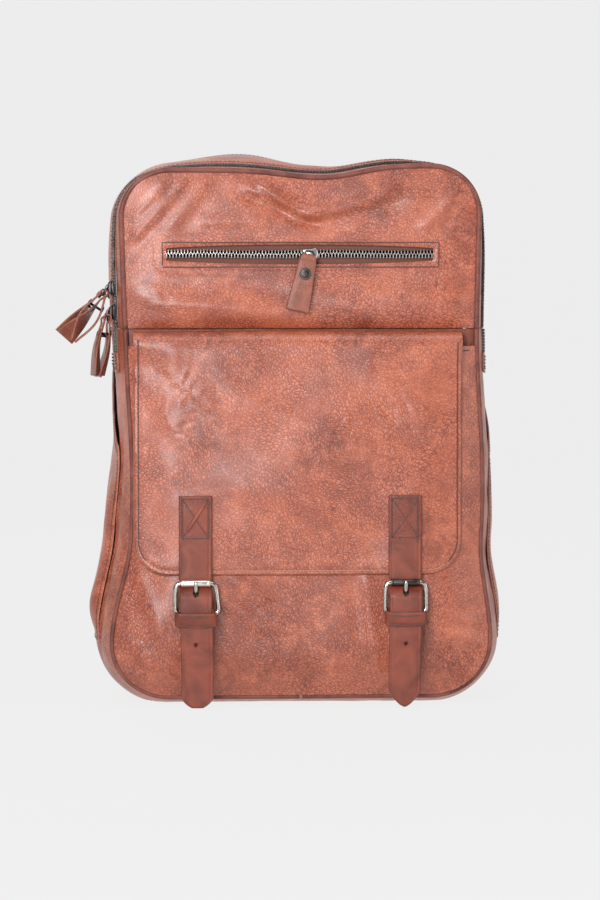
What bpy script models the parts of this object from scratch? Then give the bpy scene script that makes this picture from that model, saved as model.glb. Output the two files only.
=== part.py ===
"""A soft leather laptop backpack, built as it is sewn and riveted together.

Units are metres. +Z is up, -Y is the front of the bag, and the origin is the middle of the
base's rest face. The bag's front view is a rounded rectangle, which sagging leather bends a
little: everything is laid out on the plain rectangle and then passes through settle().
"""

import math

import bmesh
import bpy
from mathutils import Matrix, Vector

# Overall size of the bag's front outline, along the middle of its piping.
HALF_WIDTH = 0.1355
Z_BOTTOM, Z_TOP = 0.007, 0.4145
R_BOTTOM, R_TOP = 0.042, 0.037
Y_FRONT, Y_BACK = -0.0613, 0.0613
DEPTH = Y_BACK - Y_FRONT

# How the soft walls swell outwards between the front and the back piping.
SWELL = 0.0100
SWELL_AT = 0.45
SWELL_LOSS = 0.0040

# The walls swell less round the two top corners, by this share and within this distance.
TAUT_AT, TAUT, TAUT_REACH = (0.118, 0.400), 0.62, 0.034

GAP = 0.0004
LEATHER = 0.0026
PIPING_R = 0.0022
EDGE = PIPING_R + GAP

# Heights on the front: the seam that the flap hangs from, and the pocket's hem.
Z_SEAM = 0.2922
Z_COVER = Z_SEAM + 0.0012
Z_HEM = 0.2790
Z_CORNER = 0.060
UPPER_BULGE, UPPER_EASE = 0.0035, 0.030
POCKET_BULGE, POCKET_EASE = 0.0140, 0.045

# The side walls, the slip pocket on each of them, and the padded wall inside the bag.
WALL_Y0, WALL_Y1 = Y_FRONT + EDGE, Y_BACK - EDGE
Z_SIDE_TOP = Z_SEAM - 0.0006
POCKET_Y0, POCKET_Y1, POCKET_Z0 = -0.030, 0.053, 0.055
POCKET_Z_FRONT, POCKET_Z_BACK = 0.200, 0.268
POCKET_OUT = {"left": 0.0080, "right": 0.0022}
POCKET_HEM, POCKET_LEATHER, DIP = 0.006, 0.0014, 0.0050
Y_DIVIDER, DIVIDER_TOP, DIVIDER_THICK = 0.0270, 0.3600, 0.0050

# The two zips that arch over the bag, by the depth of their teeth.
Y_MAIN, Y_LAPTOP = -0.0365, 0.0365
TOOTH_HALF, TAPE_WIDE = 0.0028, 0.0038
TOOTH_THICK, TAPE_THICK = 0.0022, 0.0009

# The zip on the upper front panel.
ZIP_X0, ZIP_X1, ZIP_Z = -0.1040, 0.1020, 0.3497
WINDOW_HALF, ROW_HALF = 0.0075, 0.0035

# The flap and its two straps with buckles.
FLAP_X, FLAP_HALF, FLAP_LOW, FLAP_R = -0.0030, 0.1270, 0.1025, 0.027
FLAP_THICK = 0.0028
FLAP_HINGE = (-0.0670, 0.2906)
STRAP_X = {"left": -0.0826, "right": 0.0791}
STRAP_HALF, STRAP_THICK, STRAP_TOP, STRAP_TIP = 0.0128, 0.0022, 0.1645, 0.0016
Y_BUCKLE, Z_HEEL, Z_ROLLER = -0.0870, 0.0740, 0.0973
BAR_R, ROLLER_R, PRONG_R = 0.0015, 0.0027, 0.0010
FRAME_HALF, FRAME_CORNER = 0.0155, 0.0040
Z_KEEPER, KEEPER_HALF = 0.0687, 0.0040
Z_SNAP, SNAP_R = 0.0570, 0.0062

# The zip sliders on the left wall, by height: (name, zip depth, height, pull tilt in degrees).
SIDE_SLIDERS = (
    ("main_slider_upper", Y_MAIN, 0.3235, 33),
    ("main_slider_lower", Y_MAIN, 0.3050, 6),
    ("laptop_slider_upper", Y_LAPTOP, 0.3200, 42),
    ("laptop_slider_lower", Y_LAPTOP, 0.3015, 9),
)
SLIDER_LONG, SLIDER_WIDE, SLIDER_THICK, SLIDER_CLEAR = 0.0125, 0.0086, 0.0018, 0.0005
RING_OUT = 0.0030
PULL_LONG, PULL_THICK = 0.0470, 0.0016

# What is on the back.
STRAP_OUT, STRAP_LOW = 0.062, 0.088
PAD_HALF, PAD_THICK = 0.029, 0.010
WEB_HALF, WEB_THICK = 0.0125, 0.0016
LOCK_AT, LOCK_LONG = (0.0903, 0.1004, 0.1485), 0.0280
HANDLE_HINGE = (0.0715, 0.4015)

# Where each pivot is, filled in as they are made.
PIVOTS = {}

COLOURS = {
    "leather": ((0.36, 0.13, 0.075), 0.42, 0.0),
    "strap_leather": ((0.22, 0.085, 0.05), 0.38, 0.0),
    "piping": ((0.12, 0.045, 0.035), 0.4, 0.0),
    "tape": ((0.16, 0.07, 0.05), 0.8, 0.0),
    "teeth": ((0.10, 0.09, 0.09), 0.35, 0.9),
    "metal": ((0.75, 0.74, 0.72), 0.2, 1.0),
    "webbing": ((0.14, 0.06, 0.04), 0.85, 0.0),
    "padding": ((0.20, 0.08, 0.05), 0.8, 0.0),
}


# ---------------------------------------------------------------- shape of the soft bag


def ramp(share):
    """0 to 1, rising fast and arriving level."""
    return math.sin(math.pi / 2 * min(max(share, 0.0), 1.0))


def bell(value, middle, width):
    return math.exp(-(((value - middle) / width) ** 2))


def ease(share):
    """0 to 1, level at both ends."""
    share = min(max(share, 0.0), 1.0)
    return share * share * (3 - 2 * share)


def settle(x, z):
    """Moves a point of the plain outline to where the sagging leather holds it."""
    wider = 0.0112 * ease((0.130 - z) / 0.080) + 0.003 * min(max((z - 0.28) / 0.10, 0.0), 1.0)
    aside = 0.0056 * bell(z, 0.17, 0.080) - 0.0003
    sag = 0.0034 * ease((x - 0.02) / 0.06) - 0.0056 * bell(x, 0.014, 0.038)
    return x * (1 + wider / HALF_WIDTH) + aside, z + sag * ramp((z - 0.30) / 0.11)


def swell(y):
    """How far the walls stand outside the front piping at this depth."""
    u = (y - Y_FRONT) / DEPTH
    if u < SWELL_AT:
        return SWELL * (1 - (1 - max(u, 0.0) / SWELL_AT) ** 2)
    return SWELL - SWELL_LOSS * ((u - SWELL_AT) / (1 - SWELL_AT)) ** 2


def fullness(x, z):
    """The share of the swell that the walls have at a point of the plain outline."""
    away = math.hypot(abs(x) - TAUT_AT[0], z - TAUT_AT[1])
    return 1 - TAUT * bell(away, 0, TAUT_REACH)


def evenly(first, last, count):
    return [first + (last - first) * i / count for i in range(count + 1)]


def arc(cx, cz, radius, start, end, count):
    angles = [math.radians(a) for a in evenly(start, end, count)]
    return [(cx + radius * math.cos(a), cz + radius * math.sin(a)) for a in angles]


def arch(z0, grow, side=5, corner=5, top=8):
    """The outline from the right side at z0, over the top, to the left side at z0."""
    w, cx, cz = HALF_WIDTH + grow, HALF_WIDTH - R_TOP, Z_TOP - R_TOP
    right = [(w, z) for z in evenly(z0, cz, side)][:-1]
    over = [(x, Z_TOP + grow) for x in evenly(cx, -cx, top)][1:-1]
    first = arc(cx, cz, R_TOP + grow, 0, 90, corner)
    second = arc(-cx, cz, R_TOP + grow, 90, 180, corner)
    return right + first + over + second + [(-x, z) for x, z in reversed(right)]


def trough(z0, grow, side=4, corner=6, low=6):
    """The outline from the left side at z0, under the base, to the right side at z0."""
    w, cx, cz = HALF_WIDTH + grow, HALF_WIDTH - R_BOTTOM, Z_BOTTOM + R_BOTTOM
    left = [(-w, z) for z in evenly(z0, cz, side)][:-1]
    under = [(x, Z_BOTTOM - grow) for x in evenly(-cx, cx, low)][1:-1]
    first = arc(-cx, cz, R_BOTTOM + grow, 180, 270, corner)
    second = arc(cx, cz, R_BOTTOM + grow, 270, 360, corner)
    return left + first + under + second + [(-x, z) for x, z in reversed(left)]


def half_width(z, inset):
    """Half the plain outline's width at this height, inset from the piping's middle."""
    for centre, radius, sign in ((Z_TOP - R_TOP, R_TOP, 1), (Z_BOTTOM + R_BOTTOM, R_BOTTOM, -1)):
        past = (z - centre) * sign
        if past > 0:
            r = radius - inset
            return HALF_WIDTH - radius + math.sqrt(max(r * r - past * past, 0.0))
    return HALF_WIDTH - inset


def placed(x, y, z, floor=0.0):
    x, z = settle(x, z)
    return Vector((x, y, max(z, floor)))


# ---------------------------------------------------------------- making objects


def clear_scene():
    for obj in list(bpy.data.objects):
        bpy.data.objects.remove(obj, do_unlink=True)


def collection(name):
    made = bpy.data.collections.new(name)
    bpy.context.scene.collection.children.link(made)
    return made


def material(name):
    found = bpy.data.materials.get(name)
    if found:
        return found
    colour, roughness, metallic = COLOURS[name]
    made = bpy.data.materials.new(name)
    made.use_nodes = True
    shader = made.node_tree.nodes["Principled BSDF"]
    shader.inputs["Base Color"].default_value = (*colour, 1)
    shader.inputs["Roughness"].default_value = roughness
    shader.inputs["Metallic"].default_value = metallic
    made.diffuse_color = (*colour, 1)
    return made


def add_object(name, data, kind, home=None):
    obj = bpy.data.objects.new(name, data)
    (home or PARTS).objects.link(obj)
    if kind:
        data.materials.append(material(kind))
    return obj


def from_bmesh(name, bm, kind, home=None):
    mesh = bpy.data.meshes.new(name)
    bm.to_mesh(mesh)
    bm.free()
    obj = add_object(name, mesh, kind, home)
    mesh.shade_smooth()
    mesh.set_sharp_from_angle(angle=math.radians(35))
    return obj


def sheet(name, rows, kind, thick):
    """A wall of leather: a grid of points seen from outside, thickened inwards.

    rows run so that (next column) x (next row) points out of the bag.
    """
    bm = bmesh.new()
    verts = [[bm.verts.new(p) for p in row] for row in rows]
    for lower, upper in zip(verts, verts[1:]):
        for a, b, c, d in zip(lower, lower[1:], upper[1:], upper):
            bm.faces.new((a, b, c, d))
    obj = from_bmesh(name, bm, kind)
    solid = obj.modifiers.new("thickness", "SOLIDIFY")
    solid.thickness = thick
    solid.offset = -1
    solid.use_even_offset = True
    solid.thickness_clamp = 0
    return obj


def box(name, low, high, kind, home=None):
    bm = bmesh.new()
    bmesh.ops.create_cube(bm, size=1)
    size = Vector(high) - Vector(low)
    bmesh.ops.scale(bm, vec=size, verts=bm.verts)
    bmesh.ops.translate(bm, vec=(Vector(low) + Vector(high)) / 2, verts=bm.verts)
    return from_bmesh(name, bm, kind, home)


def disc(name, centre, axis, radius, length, kind, sides=20, home=None):
    bm = bmesh.new()
    bmesh.ops.create_cone(
        bm, cap_ends=True, segments=sides, radius1=radius, radius2=radius, depth=length
    )
    turn = Vector((0, 0, 1)).rotation_difference(Vector(axis))
    bmesh.ops.rotate(bm, matrix=turn.to_matrix(), verts=bm.verts)
    bmesh.ops.translate(bm, vec=centre, verts=bm.verts)
    return from_bmesh(name, bm, kind, home)


def tube(name, points, radius, kind, cyclic=False, resolution=2):
    curve = bpy.data.curves.new(name, "CURVE")
    curve.dimensions = "3D"
    spline = curve.splines.new("POLY")
    spline.points.add(len(points) - 1)
    for point, place in zip(spline.points, points):
        point.co = (*place, 1)
    spline.use_cyclic_u = cyclic
    curve.bevel_depth = radius
    curve.bevel_resolution = resolution
    curve.use_fill_caps = True
    return add_object(name, curve, kind)


def smooth_path(points, per_span):
    """A Catmull-Rom curve through the given points."""
    pts = [Vector(p) for p in points]
    pts = [2 * pts[0] - pts[1]] + pts + [2 * pts[-1] - pts[-2]]
    found = []
    for a, b, c, d in zip(pts, pts[1:], pts[2:], pts[3:]):
        for i in range(per_span):
            t = i / per_span
            found.append(
                0.5 * (2 * b + (c - a) * t + (2 * a - 5 * b + 4 * c - d) * t**2
                       + (3 * b - a - 3 * c + d) * t**3)
            )
    return found + [pts[-2]]


def cut(obj, cutter):
    cutter.hide_render = True
    cutter.display_type = "WIRE"
    modifier = obj.modifiers.new("cut", "BOOLEAN")
    modifier.operation = "DIFFERENCE"
    modifier.object = cutter


def ribbon(name, path, half, thick, kind, cols=2, outward=-1):
    """A strap: path holds (x, y, z) down its middle, half(share of length) its half width."""
    lengths = [0.0]
    for a, b in zip(path, path[1:]):
        lengths.append(lengths[-1] + (b - a).length)
    rows = []
    for place, along in zip(path, lengths):
        h = half(along, lengths[-1])
        rows.append([place + Vector((-outward * h * u, 0, 0)) for u in evenly(1, -1, cols)])
    return sheet(name, rows, kind, thick)


# ---------------------------------------------------------------- walls


def wall_rows(outline, ys, inset, dip=None):
    """Rows across the depth of the bag at each point of an outline function of growth."""
    lines = [outline(swell(y) - inset) for y in ys]
    rows = []
    for i, (base_x, base_z) in enumerate(outline(-inset)):
        share = fullness(base_x, base_z)
        row = []
        for line, y in zip(lines, ys):
            x = base_x + (line[i][0] - base_x) * share
            z = base_z + (line[i][1] - base_z) * share
            if dip:
                x -= math.copysign(dip(y, z), x)
            row.append(placed(x, y, z))
        rows.append(row)
    return rows


def arch_wall(name, y0, y1, inset, thick, kind, steps=1, z0=Z_COVER):
    ys = evenly(y0, y1, steps)
    return sheet(name, wall_rows(lambda g: arch(z0, g), ys, inset), kind, thick)


def side_pocket_share(y, z):
    """1 in the middle of a side pocket, 0 at its seams and outside it."""
    across = ramp((y - POCKET_Y0) / 0.018) * ramp((POCKET_Y1 - y) / 0.018)
    return across * ramp((z - POCKET_Z0) / 0.030)


def side_wall(side):
    """One side of the lower gusset, sunk a little behind its slip pocket."""
    sign = -1 if side == "left" else 1

    def line(grow):
        return [(sign * (HALF_WIDTH + grow), z) for z in evenly(Z_CORNER, Z_SIDE_TOP, 10)]

    def dip(y, z):
        return DIP * side_pocket_share(y, z) * ramp((0.285 - z) / 0.030)

    rows = wall_rows(line, evenly(WALL_Y0, WALL_Y1, 9), 0.0, dip)
    if side == "left":
        rows.reverse()
    return sheet(f"side_gusset_{side}", rows, "leather", LEATHER)


def side_pocket(side):
    sign = -1 if side == "left" else 1
    rows = []
    ys = evenly(POCKET_Y0, POCKET_Y1, 8)
    for share in evenly(0, 1, 9):
        row = []
        for y in ys:
            back = (y - POCKET_Y0) / (POCKET_Y1 - POCKET_Y0)
            top = POCKET_Z_FRONT + (POCKET_Z_BACK - POCKET_Z_FRONT) * back
            z = POCKET_Z0 + POCKET_HEM + (top - POCKET_Z0 - POCKET_HEM) * share
            out = swell(y) + POCKET_LEATHER + GAP + POCKET_OUT[side] * side_pocket_share(y, z)
            row.append(placed(sign * (HALF_WIDTH + out), y, z))
        rows.append(row)
    if side == "left":
        rows.reverse()
    return sheet(f"side_pocket_{side}", rows, "leather", POCKET_LEATHER)


def panel_rows(depth_of, z0, z1, inset, grow=0.0, rows=12, cols=12, front=True):
    """Rows of a face panel inside the piping; depth_of(x, z) is its outer surface's y."""
    found = []
    for z in evenly(z0, z1, rows):
        h = half_width(z, inset - grow)
        row = [placed(x, depth_of(x, z), z) for x in evenly(-h, h, cols)]
        found.append(row if front else list(reversed(row)))
    return found


def upper_depth(x, z):
    near = ramp((HALF_WIDTH - abs(x)) / UPPER_EASE) * ramp((Z_TOP - z) / UPPER_EASE)
    return Y_FRONT - 0.0004 - UPPER_BULGE * near * ramp((z - Z_SEAM) / UPPER_EASE)


def pocket_depth(x, z):
    near = ramp((HALF_WIDTH - abs(x)) / POCKET_EASE) * ramp((z - Z_BOTTOM) / POCKET_EASE)
    return Y_FRONT - 0.0022 - POCKET_BULGE * near


def back_depth(x, z):
    near = ramp((HALF_WIDTH - abs(x)) / 0.03) * ramp((Z_TOP - z) / 0.03)
    return Y_BACK + 0.0010 + 0.0035 * near * ramp((z - Z_BOTTOM) / 0.03)


def walls():
    for side in ("left", "right"):
        side_wall(side)
        side_pocket(side)
    corner_ys = evenly(WALL_Y0, WALL_Y1, 8)
    rows = wall_rows(lambda g: trough(Z_CORNER - 0.0006, g, side=1), corner_ys, 0.0)
    sheet("base_panel", rows, "leather", LEATHER)

    zip_half = TOOTH_HALF + TAPE_WIDE + GAP
    front_end, middle_start = Y_MAIN - zip_half, Y_MAIN + zip_half
    middle_end, rear_start = Y_LAPTOP - zip_half, Y_LAPTOP + zip_half
    arch_wall("front_zip_strip", WALL_Y0, front_end, 0, LEATHER, "leather")
    arch_wall("middle_zip_strip", middle_start, middle_end, 0, LEATHER, "leather", 4)
    arch_wall("rear_zip_strip", rear_start, WALL_Y1, 0, LEATHER, "leather")

    face = panel_rows(upper_depth, Z_COVER, Z_TOP - EDGE, EDGE)
    upper = sheet("front_panel_upper", face, "leather", LEATHER - 0.0002)
    window = box(
        "window_cutter",
        (ZIP_X0, Y_FRONT - 0.02, ZIP_Z - WINDOW_HALF),
        (ZIP_X1, Y_FRONT + 0.02, ZIP_Z + WINDOW_HALF),
        None,
        CUTTERS,
    )
    cut(upper, window)
    flat = panel_rows(lambda x, z: Y_FRONT + 0.0002, Z_BOTTOM + EDGE, Z_SIDE_TOP, EDGE, rows=9, cols=6)
    sheet("front_panel_lower", flat, "leather", 0.0018)
    pocket = panel_rows(pocket_depth, Z_BOTTOM + EDGE, Z_HEM, EDGE)
    sheet("pocket_panel", pocket, "leather", 0.0020)
    back = panel_rows(
        back_depth, Z_BOTTOM + EDGE, Z_TOP - EDGE, EDGE, grow=0, rows=14, cols=10, front=False
    )
    sheet("back_panel", back, "padding", 0.0075)


def piping():
    def at(points, y):
        return [placed(x, y, z, floor=PIPING_R) for x, z in points]

    tube("front_piping_upper", at(arch(Z_COVER, 0), Y_FRONT), PIPING_R, "piping")
    tube("front_piping_lower", at(trough(Z_SIDE_TOP, 0, side=8), Y_FRONT), PIPING_R, "piping")
    whole = arch(Z_SEAM, 0) + trough(Z_SEAM, 0, side=8)[1:-1]
    tube("back_piping", at(whole, Y_BACK), PIPING_R, "piping", cyclic=True)


def arched_zips():
    """The main zip's two halves, which part, and the laptop zip, each tape and teeth together."""
    half = TOOTH_HALF + TAPE_WIDE
    inner = 0.0004
    arch_wall("main_zip_half_front", Y_MAIN - half, Y_MAIN - GAP / 2, inner, TOOTH_THICK, "tape")
    arch_wall("main_zip_half_rear", Y_MAIN + GAP / 2, Y_MAIN + half, inner, TOOTH_THICK, "tape")
    arch_wall("laptop_zip", Y_LAPTOP - half, Y_LAPTOP + half, inner, TOOTH_THICK, "tape", 2)


def divider():
    """The padded wall between the main and the laptop compartment."""
    rows = []
    for z in (0.0045, 0.0080, 0.0150, *evenly(0.0300, DIVIDER_TOP, 8)):
        h = half_width(z, -0.0035 if z < 0.04 else 0.0010)
        rows.append([placed(x, Y_DIVIDER, z) for x in (-h, h)])
    sheet("laptop_divider", rows, "padding", DIVIDER_THICK)


# ---------------------------------------------------------------- front zip


def front_zip():
    face = upper_depth(0, ZIP_Z)
    behind = face + LEATHER + GAP
    box(
        "front_zip_tape",
        (ZIP_X0 - 0.006, behind, ZIP_Z - 0.0140),
        (ZIP_X1 + 0.006, behind + TAPE_THICK, ZIP_Z + 0.0140),
        "tape",
    )
    teeth_front = face + 0.0004
    box(
        "front_zip_teeth",
        (ZIP_X0 + GAP, teeth_front, ZIP_Z - ROW_HALF),
        (ZIP_X1 - GAP, behind - GAP, ZIP_Z + ROW_HALF),
        "teeth",
    )
    x = 0.0066
    outer = teeth_front - GAP - SLIDER_THICK
    slider = box(
        "front_zip_slider",
        (x - SLIDER_LONG / 2, outer, ZIP_Z - ROW_HALF - 0.0016),
        (x + SLIDER_LONG / 2, behind - 2 * GAP, ZIP_Z + ROW_HALF + 0.0016),
        "metal",
    )
    channel = box(
        "front_slider_cutter",
        (x - SLIDER_LONG, teeth_front - GAP, ZIP_Z - ROW_HALF - GAP),
        (x + SLIDER_LONG, behind + 0.01, ZIP_Z + ROW_HALF + GAP),
        None,
        CUTTERS,
    )
    cut(slider, channel)
    top = Vector((x - 0.0005, outer - GAP - 0.0022, ZIP_Z + 0.0015))
    tilt = math.radians(10)
    down = Vector((-math.sin(tilt), 0, -math.cos(tilt)))
    pull = pull_tab("front_zip_pull", down, Vector((math.cos(tilt), 0, -math.sin(tilt))))
    pull.location = top


def pull_tab(name, down, across):
    """A strip of leather folded on itself: narrow and round by its ring, wide at its fold."""
    bm = bmesh.new()
    shape = [(0.0, 0.0035), (0.0020, 0.0056), (0.0050, 0.0066), (PULL_LONG, 0.0090)]
    outline = [(along, -half) for along, half in shape]
    outline += [(along, half) for along, half in reversed(shape)]
    verts = [bm.verts.new(down * a + across * h) for a, h in outline]
    bm.faces.new(verts)
    obj = from_bmesh(name, bm, "strap_leather")
    solid = obj.modifiers.new("thickness", "SOLIDIFY")
    solid.thickness = 2 * PULL_THICK
    solid.offset = 0
    solid.use_even_offset = True
    return obj


# ---------------------------------------------------------------- side sliders


def left_wall(y, z, out=0.0):
    """A point that stands out from the left wall."""
    return placed(-(HALF_WIDTH + swell(y) + out), y, z)


def wall_axes(y, z):
    """Out of, along the depth of, and up the left wall at a point of it."""
    up = (left_wall(y, z + 0.02) - left_wall(y, z - 0.02)).normalized()
    back = (left_wall(y + 0.003, z) - left_wall(y - 0.003, z)).normalized()
    out = up.cross(back).normalized()
    return out, out.cross(up).normalized(), up


def side_slider(name, y, z, tilt):
    """A zip slider's plate, which lies on the teeth, and its leather pull."""
    out, back, up = wall_axes(y, z)
    centre = left_wall(y, z)
    slider = box(
        name,
        (-SLIDER_THICK / 2, -SLIDER_WIDE / 2, -SLIDER_LONG / 2),
        (SLIDER_THICK / 2, SLIDER_WIDE / 2, SLIDER_LONG / 2),
        "metal",
    )
    place = centre + out * (SLIDER_CLEAR + SLIDER_THICK / 2)
    slider.matrix_world = Matrix.Translation(place) @ Matrix((-out, -back, up)).transposed().to_4x4()
    hang = math.radians(tilt)
    down = Vector((-math.sin(hang), 0, -math.cos(hang)))
    top = centre + out * (SLIDER_CLEAR + SLIDER_THICK + RING_OUT)
    pull = pull_tab(name.replace("slider", "pull"), down, Vector((0, 1, 0)))
    pull.location = top


# ---------------------------------------------------------------- flap, straps and buckles


def flap_path():
    """The flap's outer surface, from its hinge line down, and how far forward it hangs."""
    front = pocket_depth(0, 0.2) - 0.0010 - FLAP_THICK
    bend = [
        (FLAP_X, FLAP_HINGE[0] - GAP, FLAP_HINGE[1]),
        (FLAP_X, FLAP_HINGE[0] - 0.0055, FLAP_HINGE[1] - 0.0012),
        (FLAP_X, front + 0.0034, FLAP_HINGE[1] - 0.0054),
        (FLAP_X, front + 0.0008, FLAP_HINGE[1] - 0.0115),
        (FLAP_X, front, FLAP_HINGE[1] - 0.0200),
        (FLAP_X, front, FLAP_HINGE[1] - 0.0600),
    ]
    path = smooth_path(bend, 2)
    low = path[-1].z
    path += [Vector((FLAP_X, front, z)) for z in evenly(low, FLAP_LOW + FLAP_R, 4)[1:]]
    for angle in (22, 45, 66, 84, 90):
        drop = FLAP_R * math.sin(math.radians(angle))
        path.append(Vector((FLAP_X, front, FLAP_LOW + FLAP_R - drop)))
    return path, front


def flap_half(along, total):
    left = total - along
    if left >= FLAP_R:
        return FLAP_HALF
    rise = FLAP_R - left
    return FLAP_HALF - FLAP_R + math.sqrt(max(FLAP_R**2 - rise**2, 0.0))


def flap():
    """The flap, and the edge of it that is sewn into the seam."""
    path, _ = flap_path()
    ribbon("flap", path, flap_half, FLAP_THICK, "leather", cols=8)
    sewn = [Vector((FLAP_X, y, FLAP_HINGE[1])) for y in (Y_FRONT - 0.0010, FLAP_HINGE[0])]
    ribbon("flap_root", sewn, lambda a, t: FLAP_HALF, FLAP_THICK - 0.0008, "leather", cols=1)


def strap(side):
    """Sewn on the flap, it dives behind the roller, out over the heel bar and hangs down."""
    x = STRAP_X[side]
    on_flap = flap_path()[1] - 0.0004 - STRAP_THICK
    behind = Y_BUCKLE + ROLLER_R + GAP
    ahead = Y_BUCKLE - 0.0041 - STRAP_THICK
    bend = [
        (x, on_flap, STRAP_TOP),
        (x, on_flap, 0.1300),
        (x, on_flap, 0.1080),
        (x, behind - 0.0002, 0.1010),
        (x, behind, 0.0965),
        (x, behind - 0.0036, 0.0925),
        (x, ahead + 0.0006, 0.0885),
        (x, ahead, 0.0840),
        (x, ahead, 0.0740),
        (x, ahead, 0.0600),
        (x, ahead + 0.0012, 0.0350),
        (x, ahead + 0.0022, 0.0160),
        (x, ahead + 0.0026, STRAP_TIP + 0.0095),
    ]
    path = smooth_path(bend, 2)
    tip = path[-1]
    path += [tip - Vector((0, 0, 0.0095 * share)) for share in (0.5, 0.9, 1.0)]

    def half(along, total):
        left = total - along
        return STRAP_HALF if left > 0.0095 else 0.0010 + (STRAP_HALF - 0.0010) * left / 0.0095

    made = ribbon(f"strap_{side}", path, half, STRAP_THICK, "strap_leather", cols=2)
    hole = box(
        f"strap_{side}_hole_cutter",
        (x - 0.0017, Y_BUCKLE - 0.02, 0.0855),
        (x + 0.0017, Y_BUCKLE + 0.02, 0.0940),
        None,
        CUTTERS,
    )
    cut(made, hole)
    spare = disc(
        f"strap_{side}_spare_hole_cutter",
        (x, Y_BUCKLE, 0.0508),
        (0, 1, 0),
        0.0015,
        0.02,
        None,
        sides=12,
        home=CUTTERS,
    )
    cut(made, spare)


def chape(side):
    """The short strap folded round the heel bar, slotted for the prong."""
    x = STRAP_X[side]
    thick = 0.0015
    front, back = Y_BUCKLE + 0.0004, Y_BUCKLE + 0.0040
    reach = BAR_R + GAP + thick
    turn = [
        (x, Y_BUCKLE - reach * math.sin(math.radians(a)), Z_HEEL + reach * math.cos(math.radians(a)))
        for a in evenly(105, -90, 9)
    ]
    path = smooth_path([(x, front, 0.0505), (x, front, 0.0640)], 1)
    path += [Vector(p) for p in [(x, front - 0.0004, 0.0680), *turn]]
    path += [Vector((x, back, z)) for z in (0.0690, 0.0640, 0.0505)]
    rows = [[p + Vector((h, 0, 0)) for h in (-STRAP_HALF, STRAP_HALF)] for p in path]
    made = sheet(f"chape_{side}", rows, "strap_leather", thick)
    slot = box(
        f"chape_{side}_slot_cutter",
        (x - 0.0020, Y_BUCKLE - 0.01, Z_HEEL - 0.0040),
        (x + 0.0020, Y_BUCKLE + 0.01, Z_HEEL + 0.0100),
        None,
        CUTTERS,
    )
    cut(made, slot)


def buckle(side):
    x = STRAP_X[side]
    cx, r = FRAME_HALF - FRAME_CORNER, FRAME_CORNER
    low, high = Z_HEEL + r, Z_ROLLER - r
    loop = []
    for sx, cz, start in ((1, low, -90), (1, high, 0), (-1, high, 90), (-1, low, 180)):
        loop += arc(sx * cx, cz, r, start, start + 90, 4)
    points = [(x + px, Y_BUCKLE, pz) for px, pz in loop]
    tube(f"buckle_frame_{side}", points, BAR_R, "metal", cyclic=True)

    profile = bpy.data.meshes.new(f"buckle_roller_{side}")
    bm = bmesh.new()
    inner, half = BAR_R + GAP, 0.0110
    corners = [(ROLLER_R, half), (ROLLER_R, -half), (inner, -half), (inner, half)]
    verts = [bm.verts.new((radius, 0, along)) for radius, along in corners]
    for a, b in zip(verts, verts[1:] + verts[:1]):
        bm.edges.new((a, b))
    bm.to_mesh(profile)
    bm.free()
    roller = add_object(f"buckle_roller_{side}", profile, "metal")
    screw = roller.modifiers.new("turn", "SCREW")
    screw.steps = screw.render_steps = 20
    screw.use_merge_vertices = True
    screw.merge_threshold = 0.00001
    roller.location = (x, Y_BUCKLE, Z_ROLLER)
    roller.rotation_euler = (0, math.radians(90), 0)

    wrap = BAR_R + GAP + PRONG_R
    hook = [
        (x, Y_BUCKLE - wrap * math.sin(math.radians(a)), Z_HEEL + wrap * math.cos(math.radians(a)))
        for a in evenly(-235, -10, 10)
    ]
    tip_y = Y_BUCKLE - ROLLER_R - GAP - PRONG_R
    rise = [(x, tip_y + 0.0006, Z_ROLLER - 0.0030), (x, tip_y, Z_ROLLER + 0.0016)]
    tube(f"buckle_prong_{side}", [*hook, *rise], PRONG_R, "metal")


def keeper(side):
    """The leather loop that holds the strap's loose end down."""
    x = STRAP_X[side]
    front = Y_BUCKLE - 0.0041 - STRAP_THICK - GAP - 0.0002
    back = Y_BUCKLE + 0.0040 + GAP
    half = STRAP_HALF + 0.0016
    middle, depth, r = (front + back) / 2, (back - front) / 2, 0.0024
    loop = []
    for sx, sy, start in ((1, 1, 0), (-1, 1, 90), (-1, -1, 180), (1, -1, 270)):
        for px, py in arc(sx * (half - r), sy * (depth - r), r, start, start + 90, 3):
            loop.append((x + px, middle + py))
    bm = bmesh.new()
    rings = [[bm.verts.new((px, py, z)) for px, py in loop]
             for z in (Z_KEEPER - KEEPER_HALF, Z_KEEPER + KEEPER_HALF)]
    low, high = rings
    for i in range(len(loop)):
        j = (i + 1) % len(loop)
        bm.faces.new((low[i], low[j], high[j], high[i]))
    made = from_bmesh(f"keeper_{side}", bm, "strap_leather")
    solid = made.modifiers.new("thickness", "SOLIDIFY")
    solid.thickness = 0.0014
    solid.offset = 1
    solid.use_even_offset = True


def snap(side):
    """A magnetic snap: its stud is on the chape and its socket on the pocket."""
    x = STRAP_X[side]
    pocket = pocket_depth(x, Z_SNAP)
    chape_back = Y_BUCKLE + 0.0040
    middle = pocket - GAP - 0.0009
    disc(f"snap_socket_{side}", (x, middle, Z_SNAP), (0, 1, 0), SNAP_R, 0.0018, "metal")
    low, high = chape_back + GAP, middle - 0.0009 - GAP
    disc(f"snap_stud_{side}", (x, (low + high) / 2, Z_SNAP), (0, 1, 0), SNAP_R, high - low, "metal")


# ---------------------------------------------------------------- back


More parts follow.
